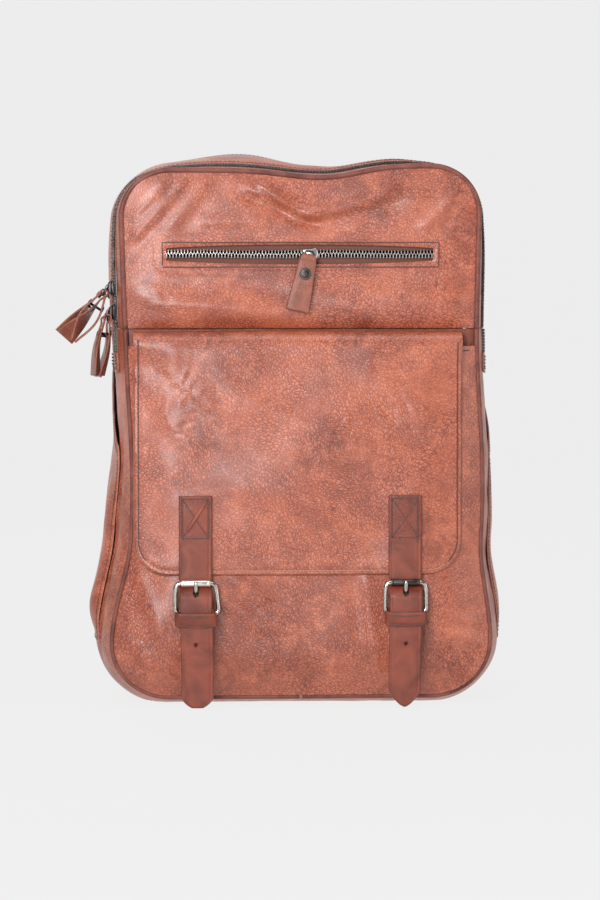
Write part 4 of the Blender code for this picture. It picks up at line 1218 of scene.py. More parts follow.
def zip_pull(name, body, node, down, across, gape=0.0, twist=0.0, long=0.0440, rivet=0.0048, begin=0.0045,
             cut=0.0, bend=0.0):
    """A leather pull folded through its wire ring; gape parts its two layers, twist turns its end."""
    top = PULL_TOPS[node]
    out = across.cross(down).normalized()
    thick = 0.0015

    def layer(s, sign):
        share = min(max(s / long, 0.0), 1.0)
        part = 0.0003 + gape * math.sin(math.pi * share) ** 1.3
        turned = math.radians(twist) * smooth(share)
        normal = out * math.cos(turned) + across * math.sin(turned)
        bow = bend * share * share
        return top + down * (begin + s) + normal * sign * (part + thick / 2) + out * bow

    radius = 0.0016
    path = [layer(s, -1) for s in evenly(long - cut, 0.003, 26)]
    centre = top + down * (begin - 0.0004)
    for angle in (200, 235, 270, 305, 340):
        a = math.radians(angle)
        path.append(centre + out * (radius + thick / 2) * math.cos(a) + down * radius * math.sin(a))
    path += [layer(s, 1) for s in evenly(0.003, long, 26)]
    path = evened(path, 0.0012)
    total = lengths_of(path)[-1]
    middle = (total - cut) / total / 2

    def half(share):
        s = abs(share - middle) * total
        if s < 0.0075:
            return 0.0046 + 0.0022 * math.sin(math.pi / 2 * s / 0.0075)
        return 0.0068 + 0.0022 * (s - 0.0075) / (total / 2 - 0.0075)

    def side(share):
        s = max(abs(share - middle) * total - 0.004, 0.0) / long
        turned = math.radians(twist) * smooth(min(s, 1.0))
        return across * math.cos(turned) - out * math.sin(turned)

    bm = bmesh.new()
    sweep(bm, path, strap_section(half, thick, 6, 0.0001), side)
    obj = piece(f"{name}_leather", bm, (PULL_LEATHER, EDGE_PAINT), body, [node])
    bm = bmesh.new()
    loop = ring_path(top - down * 0.0010, down, across, out, 0.0042, begin + 0.0030)
    sweep(bm, loop, round_section(0.00075, 8), out, closed=True)
    at = top + down * (begin + 0.0125)
    share = 0.0125 / long
    part = 0.0003 + gape * math.sin(math.pi * share) ** 1.3 + thick
    turned = math.radians(twist) * smooth(share)
    normal = out * math.cos(turned) + across * math.sin(turned)
    for sign in (1, -1):
        face = at + normal * sign * part + out * bend * share * share
        lathe(bm, face, normal * sign, rivet_profile(rivet, 0.0013), 24)
    lathe(bm, at, normal, [(-part, 0.0010), (part, 0.0010)], 10)
    piece(f"{name}_ring_rivet", bm, (DARK_NICKEL,), body, ())
    return obj


def left_wall(y, z, out=0.0):
    return placed(-(HALF_WIDTH + swell(y) + out), y, z)


def wall_axes(y, z):
    up = (left_wall(y, z + 0.02) - left_wall(y, z - 0.02)).normalized()
    back = (left_wall(y + 0.003, z) - left_wall(y - 0.003, z)).normalized()
    out = up.cross(back).normalized()
    return out, out.cross(up).normalized(), up


SIDE_SLIDERS = (
    # name, depth, height, pull tilt, gape, twist, length, bend
    ("main_slider_upper", Y_MAIN, 0.3235, 33, 0.0052, 0, 0.0440, 0.0),
    ("main_slider_lower", Y_MAIN, 0.3050, 8, 0.0022, 12, 0.0450, 0.0),
    ("laptop_slider_upper", Y_LAPTOP, 0.3200, 42, 0.0010, 62, 0.0440, 0.0),
    ("laptop_slider_lower", Y_LAPTOP, 0.3015, 9, 0.0026, -14, 0.0450, 0.0),
)
PULL_TOPS = {}


def side_sliders():
    for name, y, z, tilt, gape, twist, long, bend in SIDE_SLIDERS:
        out, back, up = wall_axes(y, z)
        centre = left_wall(y, z)
        upward = up if name.endswith("upper") else -up
        bm = bmesh.new()
        slider_shape(bm, centre + out * 0.0014, out, -upward)
        obj = piece(f"{name}_body", bm, (DARK_NICKEL,), name, [name])
        obj.data.set_sharp_from_angle(angle=math.radians(40))
        pull = name.replace("slider", "pull")
        PULL_TOPS[pull] = centre + out * (0.0005 + 0.0018 + 0.0030)
        hang = math.radians(tilt)
        down = Vector((-math.sin(hang), 0, -math.cos(hang)))
        zip_pull(pull, pull, pull, down, Vector((0, 1, 0)), gape, twist, long, 0.0034, bend=bend)


def front_zip():
    face = upper_depth(0, ZIP_Z)
    behind = face + 0.0026
    middle = ZIP_Z + 0.0004
    for side, sign in (("low", -1), ("high", 1)):
        edge, far = sorted((middle + sign * 0.0024, middle + sign * 0.0135))
        rows = [[Vector((x, behind - 0.0003 * math.sin((z - middle) * 400), z))
                 for x in evenly(WINDOW_X0 - 0.005, WINDOW_X1 + 0.005, 120)]
                for z in evenly(edge, far, 6)]
        nodes = ["front_zip_tape"] if side == "low" else []
        skin(f"front_tape_{side}", rows, 0.0007, "cover", nodes, (TAPE, TAPE, TAPE), "zip_tape", rim=0.0002)
        chain = [(Vector((x, behind - 0.0011, middle + 0.0003 * math.sin(x * 60))), Vector((0, -1, 0)))
                 for x in evenly(WINDOW_X0 - 0.003, WINDOW_X1 + 0.003, 100)]
        nodes = ["front_zip_teeth"] if side == "low" else []
        teeth_piece(f"front_teeth_{side}", chain, (0, 0, sign), "cover", nodes, 0.5 * (sign > 0), 0.0025,
                    0.0037, TEETH_BRIGHT)
    low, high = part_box("front_zip_slider")
    centre = (low + high) / 2
    bm = bmesh.new()
    slider_shape(bm, Vector((centre.x, behind - 0.0034, middle)), Vector((0, -1, 0)), Vector((1, 0, 0)))
    slider = piece("front_slider_body", bm, (TEETH_BRIGHT,), "front_slider", ["front_zip_slider"])
    slider.data.set_sharp_from_angle(angle=math.radians(40))
    PULL_TOPS["front_zip_pull"] = Vector((0.0061, -0.0696, 0.3512))
    tilt = math.radians(12)
    down = Vector((-math.sin(tilt), 0, -math.cos(tilt)))
    across = Vector((math.cos(tilt), 0, -math.sin(tilt)))
    zip_pull("front_pull", "front_pull", "front_zip_pull", down, across, 0.0004, 0, 0.0420, 0.0050, cut=0.0006)


# ---------------------------------------------------------------- flap, straps and buckles


def flap():
    """One skin from the seam, over the fold and down."""
    bend = flap_bend()
    across = evenly(-1, 1, 170)
    rows = []
    low = bend[-1].z
    total = lengths_of(bend)[-1]
    lengths = lengths_of(bend)
    for place, length in zip(bend, lengths):
        share = length / total
        row = []
        for u in across:
            x = FLAP_X + FLAP_HALF * u
            relief = flap_relief(x, low) * smooth((share - 0.25) / 0.75)
            roll = 0.0005 * noise.noise(Vector((x * 30, 2.0, share))) * math.sin(math.pi * share)
            forward = relief + roll
            row.append(Vector((x, place.y - forward, place.z - 0.0012 * (1 - share) * u * u)))
        rows.append(row)
    heights = evenly(low, FLAP_LOW + FLAP_R, 100)[1:]
    heights += [FLAP_LOW + FLAP_R - FLAP_R * math.sin(math.radians(a)) for a in evenly(0, 90, 24)[1:]]
    for z in heights:
        rise = max(FLAP_LOW + FLAP_R - z, 0.0)
        half = FLAP_HALF - FLAP_R + math.sqrt(max(FLAP_R**2 - rise**2, 0.0))
        rows.append([flap_point(FLAP_X + half * u, z) for u in across])
    rows = [list(reversed(row)) for row in rows]

    def edge_paint_and_shade(place):
        """Along its bottom the flap's face takes the pale edge paint; down its sides a narrow band of the face, and
        the cut edge there, take painted shade, the shadow of the raised edge.
        """
        if place.z < FLAP_LOW + 0.0013:
            return 6
        rise = max(FLAP_LOW + FLAP_R - place.z, 0.0)
        half = FLAP_HALF - FLAP_R + math.sqrt(max(FLAP_R**2 - rise**2, 0.0))
        return 3 if abs(place.x - FLAP_X) > half - 0.0015 and place.z < 0.286 else 0

    coats = (LEATHER, LINING, EDGE_PAINT, PAINTED_SHADE, LINING, PAINTED_SHADE, EDGE_PAINT, LINING, EDGE_PAINT)
    obj = skin("front_flap", rows, 0.0026, None, ["flap", "flap_root"], coats, rim=0.0009, paint=edge_paint_and_shade)
    made_final(obj)
    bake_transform(obj)
    inset = FLAP_HALF - FLAP_EDGE
    r = FLAP_R - FLAP_EDGE
    cz = FLAP_LOW + FLAP_R
    line = [(FLAP_X - inset, z) for z in evenly(0.2840, cz, 76)]
    line += arc(FLAP_X - FLAP_HALF + FLAP_R, cz, r, 180, 270, 16)
    line += [(x, FLAP_LOW + FLAP_EDGE) for x in evenly(FLAP_X - FLAP_HALF + FLAP_R, FLAP_X + FLAP_HALF - FLAP_R, 90)]
    line += arc(FLAP_X + FLAP_HALF - FLAP_R, cz, r, 270, 360, 16)
    line += [(FLAP_X + inset, z) for z in evenly(cz, 0.2840, 76)]
    row = on_surface(flap_face, line, 0.0004)
    low_part = [pair for pair in row if pair[0].z < FLAP_LOW + 0.010]
    left_part = [pair for pair in row if pair[0].z >= FLAP_LOW + 0.010 and pair[0].x < 0]
    right_part = [pair for pair in row if pair[0].z >= FLAP_LOW + 0.010 and pair[0].x > 0]
    stitches("flap_side_stitches", [left_part, right_part], "flap", thick=0.0010)
    stitches("flap_low_stitches", [low_part], "flap", PALE_THREAD, thick=0.0010)


frame_low, frame_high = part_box("buckle_frame_left")
Y_BUCKLE = (frame_low.y + frame_high.y) / 2
BAR_R = (frame_high.y - frame_low.y) / 2
Z_HEEL, Z_ROLLER = frame_low.z + BAR_R, frame_high.z - BAR_R
STRAP_HALF, STRAP_THICK, STRAP_TOP, STRAP_TIP = 0.0128, 0.0022, 0.1645, 0.0016
ROLLER_R = 0.0027
Z_KEEPER = 0.0704


def strap_path(side):
    x = STRAP_X[side]
    on_flap = FLAP_FRONT - 0.0004 - STRAP_THICK
    behind = Y_BUCKLE + ROLLER_R + 0.0004
    ahead = Y_BUCKLE - 0.0041 - STRAP_THICK
    sway = {"left": 0.0006, "right": -0.0004}[side]
    bend = [
        (x, on_flap, STRAP_TOP), (x, on_flap, 0.1300), (x, on_flap, 0.1080), (x, behind - 0.0002, 0.1010),
        (x, behind, 0.0965), (x, behind - 0.0036, 0.0925), (x, ahead + 0.0006, 0.0885), (x, ahead, 0.0840),
        (x, ahead, 0.0740), (x + sway, ahead, 0.0600), (x + sway * 2, ahead + 0.0012, 0.0350),
        (x + sway * 2, ahead + 0.0022, 0.0160), (x + sway * 2, ahead + 0.0026, STRAP_TIP),
    ]
    return evened(smooth_path(bend, 10), 0.0016)


def punch(obj, centre, radius, long=0.012, wide=None, sides=20):
    """Cuts a hole through a strap along Y; wide makes it a slot that tall."""
    bm = bmesh.new()
    bmesh.ops.create_cone(bm, cap_ends=True, segments=sides, radius1=radius, radius2=radius, depth=long)
    bmesh.ops.rotate(bm, matrix=Matrix.Rotation(math.pi / 2, 3, "X"), verts=bm.verts)
    if wide:
        bmesh.ops.scale(bm, vec=(1, 1, wide / radius / 2), verts=bm.verts)
    bmesh.ops.translate(bm, vec=centre, verts=bm.verts)
    mesh = bpy.data.meshes.new("cutter")
    bm.to_mesh(mesh)
    bm.free()
    cutter = bpy.data.objects.new("cutter", mesh)
    bpy.context.scene.collection.objects.link(cutter)
    # The hole's walls take near-black painted shade.
    cutter.data.materials.append(HOLE_SHADE)
    hole = obj.modifiers.new("hole", "BOOLEAN")
    hole.operation = "DIFFERENCE"
    hole.solver = "EXACT"
    hole.material_mode = "TRANSFER"
    hole.object = cutter
    made_final(obj)
    bpy.data.objects.remove(cutter, do_unlink=True)


def straps():
    for side, x in STRAP_X.items():
        path = strap_path(side)
        total = lengths_of(path)[-1]
        tip_long = 0.0095 if side == "left" else 0.0120

        def half(share):
            left = (1 - share) * total
            body = STRAP_HALF * (1 - 0.02 * smooth((share - 0.35) / 0.1))
            if left > tip_long:
                return body
            if side == "left":
                return 0.0046 + (body - 0.0046) * math.sin(math.pi / 2 * left / tip_long) ** 0.8
            return 0.0012 + (body - 0.0012) * (left / tip_long) ** 0.7

        obj = strap_piece(f"front_strap_{side}", path, half, STRAP_THICK, "flap", [f"strap_{side}"],
                          columns=36, crown=0.0003, pressed=0.00035)
        punch(obj, (x, Y_BUCKLE, 0.0905), 0.0023, 0.03, 0.0066)
        punch(obj, (x, Y_BUCKLE, 0.0508), 0.0014, 0.03)
        eyelet(side, x)
        strap_stitches(side, x, path)
        chape(side, x)
        buckle(side, x)
        keeper(side, x)
        snap(side, x)


def strap_y(path, z):
    """The depth of a strap's outer face at a height."""
    for a, b in zip(path, path[1:]):
        if a.z >= z >= b.z:
            return a.lerp(b, (a.z - z) / (a.z - b.z)).y
    return path[0].y if z > path[0].z else path[-1].y


def eyelet(side, x):
    """The pressed rim of the spare hole."""
    path = strap_path(side)
    y = strap_y(path, 0.0508)
    bm = bmesh.new()
    ring = [Vector((x + 0.0019 * math.cos(a), y - 0.0002, 0.0508 + 0.0019 * math.sin(a)))
            for a in (2 * math.pi * i / 24 for i in range(24))]
    sweep(bm, ring, round_section(0.00045, 8), (0, 1, 0), closed=True)
    piece(f"strap_eyelet_{side}", bm, (STRAP,), "flap", ())


def strap_stitches(side, x, path):
    """The box and the cross that hold a strap on the flap, and the fold of leather in them."""
    top, low, inset = STRAP_TOP - 0.0024, 0.1318, 0.0026
    left, right = x - STRAP_HALF + inset, x + STRAP_HALF - inset

    def face(a, b):
        return Vector((a, strap_y(path, b) - 0.0003, b))

    box = polyline([(left, top), (right, top), (right, low), (left, low), (left, top)], 0.001)
    cross = [polyline([(left, low), (right, top)], 0.001), polyline([(left, top), (right, low)], 0.001)]
    out = Vector((0, -1, 0))
    rows = [[(face(a, b), out) for a, b in line] for line in (box, *cross)]
    stitches(f"strap_box_stitches_{side}", rows, "flap", THREAD, 0.0027, 0.0015, 0.0009)
    bm = bmesh.new()
    lift = 0.0011 if side == "left" else 0.0006
    for first, last in (((left + 0.001, low + 0.001), (right - 0.001, top - 0.001)),
                        ((left + 0.001, top - 0.001), (right - 0.001, low + 0.001))):
        if side == "left" and first[1] > last[1]:
            continue
        line = [Vector((first[0] + (last[0] - first[0]) * s, 0, first[1] + (last[1] - first[1]) * s))
                for s in evenly(0, 1, 18)]
        line = [Vector((p.x, strap_y(path, p.z) + 0.0006, p.z)) for p in line]
        width = 0.0022 if side == "left" else 0.0013
        sweep(bm, line, lambda share: [
            (width * math.cos(a) * math.sin(math.pi * min(max(share, 0.04), 0.96)) ** 0.4,
             (lift + 0.0006) * math.sin(a) * math.sin(math.pi * min(max(share, 0.04), 0.96)) ** 0.4, 0)
            for a in (2 * math.pi * i / 12 for i in range(12))], (line[-1] - line[0]).cross(Vector((0, 1, 0))))
    bmesh.ops.recalc_face_normals(bm, faces=bm.faces)
    piece(f"strap_crease_{side}", bm, (STRAP,), "flap", ())


def chape(side, x):
    """The short strap folded round the heel bar."""
    front, back, thick = Y_BUCKLE + 0.0004, Y_BUCKLE + 0.0040, 0.0015
    reach = BAR_R + 0.0004 + thick
    turn = []
    for a in evenly(105, -90, 16):
        a = math.radians(a)
        turn.append((x, Y_BUCKLE - reach * math.sin(a), Z_HEEL + reach * math.cos(a)))
    path = [Vector(p) for p in [(x, front, 0.0478), (x, front, 0.0560), (x, front, 0.0640),
                                (x, front - 0.0004, 0.0680), *turn]]
    path += [Vector((x, back, z)) for z in (0.0690, 0.0640, 0.0560, 0.0478)]
    path = [p + Vector((0.0012, 0, 0)) for p in evened(path, 0.0015)]
    obj = strap_piece(f"buckle_chape_{side}", path, STRAP_HALF, thick, "flap", [f"chape_{side}"],
                      columns=6, crown=0.0)
    punch(obj, (x, Y_BUCKLE, Z_HEEL + 0.003), 0.0019, 0.02, 0.014)


def buckle(side, x):
    skew = 0.0022 if side == "left" else 0.0003
    half, r = 0.0155, 0.0040
    cx, low, high = half - r, Z_HEEL + r, Z_ROLLER - r
    loop = []
    for sx, cz, start in ((1, low, -90), (1, high, 0), (-1, high, 90), (-1, low, 180)):
        loop += arc(sx * cx, cz, r, start, start + 90, 10)
    closed = [Vector((x + px + skew * smooth((Z_ROLLER - pz) / 0.024) * (px > 0), Y_BUCKLE, pz)) for px, pz in loop]
    path = evened(closed + closed[:1], 0.0012)[:-1]
    bm = bmesh.new()

    def section(share):
        return [(0.0015 * math.cos(a) * 0.96, 0.0017 * math.sin(a), 0)
                for a in (2 * math.pi * i / 16 for i in range(16))]

    sweep(bm, path, section, (0, 1, 0), closed=True)
    piece(f"frame_{side}", bm, (NICKEL,), f"buckle_frame_{side}", [f"buckle_frame_{side}"])

    bm = bmesh.new()
    long = 0.0110
    profile = [(-long, 0.0019), (-long, ROLLER_R * 0.94), (-long + 0.0004, ROLLER_R), (-long + 0.0016, ROLLER_R),
               (-long + 0.0019, ROLLER_R * 0.96), (-long + 0.0022, ROLLER_R)]
    profile += [(-h, r) for h, r in reversed(profile)]
    lathe(bm, (x, Y_BUCKLE, Z_ROLLER), (1, 0, 0), profile, 36)
    # Painted light: the left roller is coloured as a lit copy in light nickel, the right one as a shaded copy in
    # dark nickel.
    kind = LIT_ROLLER_NICKEL if side == "left" else DARK_NICKEL
    roller = piece(f"roller_{side}", bm, (kind,), f"buckle_roller_{side}", [f"buckle_roller_{side}"])
    roller.data.set_sharp_from_angle(angle=math.radians(50))

    wrap = 0.0015 + 0.0004 + 0.0010
    hook = []
    for a in evenly(-235, -10, 18):
        a = math.radians(a)
        hook.append((x, Y_BUCKLE - wrap * math.sin(a), Z_HEEL + wrap * math.cos(a)))
    tip_y = Y_BUCKLE - ROLLER_R - 0.0004 - 0.0010
    path = [Vector(p) for p in hook]
    path += smooth_path([hook[-1], (x, Y_BUCKLE - 0.0004, Z_HEEL + 0.0100), (x, tip_y + 0.0012, Z_ROLLER - 0.0052),
                         (x, tip_y + 0.0002, Z_ROLLER - 0.0010), (x, tip_y + 0.0001, Z_ROLLER + 0.0019)], 5)[1:]

    def radius(share):
        wide = 0.00115 + 0.00055 * smooth((share - 0.62) / 0.2)
        return wide * (1 - 0.15 * smooth((share - 0.85) / 0.12)) * (1 - 0.5 * smooth((share - 0.97) / 0.03))

    tube_piece(f"prong_{side}", evened(path, 0.0008), radius, NICKEL, f"buckle_prong_{side}",
               [f"buckle_prong_{side}"], (1, 0, 0))


def keeper(side, x):
    """The leather loop over the strap's loose end, a little slack in front."""
    front = Y_BUCKLE - 0.0041 - STRAP_THICK - 0.0006 - 0.0014
    back = Y_BUCKLE + 0.0040 + 0.0004 + 0.0014
    half = STRAP_HALF + 0.0032
    middle, depth, r = (front + back) / 2, (back - front) / 2, 0.0036
    loop = []
    for sx, sy, start in ((1, 1, 0), (-1, 1, 90), (-1, -1, 180), (1, -1, 270)):
        loop += [(x + px, middle + py) for px, py in
                 arc(sx * (half - r), sy * (depth - r), r, start, start + 90, 6)]
    sag = {"left": 0.0024, "right": 0.0019}[side]
    path = []
    for px, py in loop:
        u = (px - x) / half
        front_side = py < middle
        path.append(Vector((px, py - 0.0004 * (1 - u * u) * front_side,
                            Z_KEEPER - sag * (1 - u * u) * front_side)))
    path = evened(path + path[:1], 0.0014)[:-1]
    bm = bmesh.new()
    tall, thick = 0.0052, 0.0014

    def section(share):
        outer = [(tall * u, 0.0002 * (1 - u * u), 0) for u in evenly(1, -1, 8)]
        edge = [(-tall - 0.0003, -0.0004, 1), (-tall - 0.0003, -0.0010, 1)]
        inner = [(tall * u, -thick, 0) for u in evenly(-1, 1, 2)]
        return outer + edge + inner + [(tall + 0.0003, -0.0010, 1), (tall + 0.0003, -0.0004, 1)]

    sweep(bm, path, section, (0, 0, 1), closed=True)
    piece(f"keeper_loop_{side}", bm, (STRAP, EDGE_PAINT), "flap", [f"keeper_{side}"])
    rows = []
    for dz in (-0.0034, 0.0034):
        rows.append([(Vector((x + half * 0.93 * u, front - 0.0005 - 0.0004 * (1 - u * u),
                              Z_KEEPER + dz - sag * (1 - u * u))), Vector((0, -1, 0)))
                     for u in evenly(-0.92, 0.92, 30)])
    stitches(f"keeper_stitches_{side}", rows, "flap", THREAD, 0.0026, 0.0014, 0.0006)


def snap(side, x):
    for part, body in (("stud", "flap"), ("socket", "bag")):
        low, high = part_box(f"snap_{part}_{side}")
        centre = (low + high) / 2
        radius, half = (high.x - low.x) / 2, (high.y - low.y) / 2
        bm = bmesh.new()
        profile = [(-half, radius * 0.9), (-half * 0.6, radius), (half * 0.5, radius), (half * 0.8, radius * 0.92),
                   (half, radius * 0.78), (half, radius * 0.45), (half * 0.5, radius * 0.40)]
        lathe(bm, centre, (0, -1 if part == "socket" else 1, 0), profile, 28)
        made = piece(f"snap_{part}_cap_{side}", bm, (NICKEL,), body, [f"snap_{part}_{side}"])
        made.data.set_sharp_from_angle(angle=math.radians(45))


# ---------------------------------------------------------------- back


def puffed(obj, cap, voxel=0.005, pressure=4.0, frames=20):
    """Fills a pad: its skin is remeshed, swollen as cloth under pressure and capped."""
    remesh = obj.modifiers.new("remesh", "REMESH")
    remesh.mode = "VOXEL"
    remesh.voxel_size = voxel
    made_final(obj)
    before = [v.co.copy() for v in obj.data.vertices]
    cloth = obj.modifiers.new("cloth", "CLOTH")
    cloth.settings.use_pressure = True
    cloth.settings.uniform_pressure_force = pressure
    cloth.settings.effector_weights.gravity = 0
    cloth.settings.quality = 6
    cloth.settings.mass = 0.3
    scene = bpy.context.scene
    for number in range(1, frames + 1):
        scene.frame_set(number)
    made_final(obj)
    scene.frame_set(1)
    for vertex, start in zip(obj.data.vertices, before):
        move = vertex.co - start
        if move.length > cap:
            vertex.co = start + move.normalized() * cap
    relax = obj.modifiers.new("relax", "SMOOTH")
    relax.factor, relax.iterations = 0.5, 4
    finer = obj.modifiers.new("finer", "SUBSURF")
    finer.levels = finer.render_levels = 1
    made_final(obj)
    obj.data.shade_smooth()


def back_depth(x, z):
    near = ramp((HALF_WIDTH - abs(x)) / 0.03) * ramp((Z_TOP - z) / 0.03)
    return Y_BACK + 0.0010 + 0.0035 * near * ramp((z - Z_BOTTOM) / 0.03)


def back_point(x, z):
    wide, high = settle(x, z)
    relief = slack(wide, 0.0, high, 0.0006, 0.00015, 12.0)
    return Vector((wide, back_depth(x, z) + relief * 0.5, high))


BACK_PADS = (
    # left, right, low, high
    (-0.1080, -0.0110, 0.2020, 0.3350),
    (0.0110, 0.1080, 0.2020, 0.3350),
    (-0.1060, 0.1060, 0.0700, 0.1820),
)


def rounded(left, right, low, high, r, count=6):
    found = []
    for cx, cz, start in ((right - r, low + r, -90), (right - r, high - r, 0), (left + r, high - r, 90),
                          (left + r, low + r, 180)):
        found += arc(cx, cz, r, start, start + 90, count)
    return found


def back():
    step = 0.0024
    heights = pocket_heights(Z_BOTTOM, Z_TOP - R_TOP, step)
    heights += [z for _, z in arc(0, Z_TOP - R_TOP, R_TOP - SEWN_IN, 0, 90, 20)[1:]]
    rows = [[back_point(-u * half_width(z, SEWN_IN), z) for u in evenly(-1, 1, 110)] for z in heights]
    skin("back_face", rows, 0.0070, "bag", ["back_panel"], (MESH_CLOTH, LINING, EDGE_PAINT), "padding")
    for number, (left, right, low, high) in enumerate(BACK_PADS):
        bm = bmesh.new()
        outline = rounded(left, right, low, high, 0.016)
        cx, cz = (left + right) / 2, (low + high) / 2
        rings = []
        for depth, size in ((0.0008, 0.97), (0.0016, 1.0), (0.0036, 0.99), (0.0056, 0.965), (0.0066, 0.91)):
            ring = []
            for x, z in outline:
                px, pz = cx + (x - cx) * size, cz + (z - cz) * size
                place = back_point(plain_x(px, pz), pz)
                ring.append(Vector((place.x, place.y + depth, place.z)))
            rings.append(list(reversed(ring)))
        verts = grid(bm, rings, closed=True)
        bm.faces.new(list(reversed(verts[0])))
        bm.faces.new(verts[-1])
        pad = piece(f"back_pad_{number + 1}", bm, (PAD_CLOTH,), "bag", ())
        puffed(pad, 0.0030, 0.0040)
        bm = bmesh.new()
        cord = [back_point(plain_x(x, z), z) + Vector((0, 0.0012, 0)) for x, z in
                rounded(left - 0.001, right + 0.001, low - 0.001, high + 0.001, 0.017, 10)]
        sweep(bm, evened(cord + cord[:1], 0.003)[:-1], round_section(0.0015, 10), (0, 1, 0), closed=True)
        piece(f"back_pad_cord_{number + 1}", bm, (PIPING,), "bag", ())


def yoke():
    """The leather piece that the shoulder straps and the handle are sewn under."""
    low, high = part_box("strap_yoke")
    def point(x, z):
        share = (z - 0.3565) / 0.0280
        half = 0.0985 - 0.0085 * share
        place = back_point(plain_x(x * half, z), z)
        bulge = 0.0010 + 0.0016 * max(bell(x * half, s * 0.062, 0.026) for s in (-1, 1)) * (1 - share)
        return Vector((x * half, max(place.y, low.y) + 0.0012 + bulge, z))

    rows = [[point(-u, z) for u in evenly(-1, 1, 90)] for z in evenly(0.3565, 0.3845, 14)]
    skin("yoke_leather", rows, 0.0018, "bag", ["strap_yoke"], (LEATHER, LINING, EDGE_PAINT))
    out = Vector((0, 1, 0))
    seams = [[(point(u * 0.975, z), out) for u in evenly(-1, 1, 80)] for z in (0.3590, 0.3820)]
    seams += [[(point(s * 0.975, z), out) for z in evenly(0.3590, 0.3820, 12)] for s in (-1, 1)]
    stitches("yoke_stitches", seams, "bag", PALE_THREAD, 0.0034)


def handle():
    drop = [
        (-0.0500, 0.0715, 0.4015), (-0.0480, 0.0745, 0.3890), (-0.0360, 0.0770, 0.3735),
        (-0.0150, 0.0780, 0.3680), (0.0150, 0.0780, 0.3680), (0.0360, 0.0770, 0.3735),
        (0.0480, 0.0745, 0.3890), (0.0500, 0.0715, 0.4015),
    ]
    path = evened(smooth_path(drop, 8), 0.0022)

    def radius(share):
        return 0.0040 + 0.0006 * smooth(min(share, 1 - share) / 0.12)

    def section(share):
        r = radius(share)
        ring = []
        for i in range(20):
            a = 2 * math.pi * i / 20
            seam = 0.0007 * bell(math.cos(a) + 1, 0, 0.05)
            crease = 0.00022 * noise.noise(Vector((share * 60, math.cos(a) * 2, math.sin(a) * 2)))
            ring.append(((r + seam + crease) * math.cos(a), (r + crease) * math.sin(a), 0))
        return ring

    bm = bmesh.new()
    sweep(bm, path, section, (0, 1, 0))
    piece("handle_grip", bm, (STRAP,), "handle", ["handle"])
    seam = []
    lengths = lengths_of(path)
    for place, before, after in zip(path[6:-6], path[5:-7], path[7:-5]):
        along = (after - before).normalized()
        side = (Vector((0, 1, 0)) - along * along.y).normalized()
        out = along.cross(side)
        turn = (side * -0.92 + out * 0.38).normalized()
        seam.append((place + turn * 0.0046, turn))
    stitches("handle_stitches", [seam], "handle", PALE_THREAD, 0.0034)
    for side, sign in (("left", -1), ("right", 1)):
        bm = bmesh.new()
        centre = Vector((sign * 0.0500, 0.0715, 0.4015))
        rim = []
        for i in range(24):
            a = 2 * math.pi * i / 24
            rim.append(centre + Vector((0, 0.0066 * math.cos(a), 0.0066 * math.sin(a))))
        sweep(bm, rim, round_section(0.0011, 10), (1, 0, 0), closed=True)
        piece(f"handle_ring_{side}", bm, (DARK_NICKEL,), "handle", ())
        tab = [Vector((sign * 0.0500, y, z)) for y, z in
               ((0.0632, 0.3850), (0.0640, 0.3900), (0.0652, 0.3960), (0.0668, 0.4020))]
        tab = [Vector((p.x, p.y + 0.0034, p.z)) for p in tab]
        strap_piece(f"handle_tab_{side}", evened(smooth_path(tab, 5), 0.0012)[::-1], 0.0080, 0.0016, "bag",
                    across=(-1, 0, 0), columns=5)


def shoulder_path(sign):
    bend = [
        (sign * 0.062, 0.0800, 0.3560), (sign * 0.064, 0.0960, 0.3360), (sign * 0.068, 0.1160, 0.2950),
        (sign * 0.076, 0.1240, 0.2450), (sign * 0.083, 0.1190, 0.2050), (sign * 0.088, 0.1060, 0.1700),
    ]
    return evened(smooth_path(bend, 8), 0.0040)


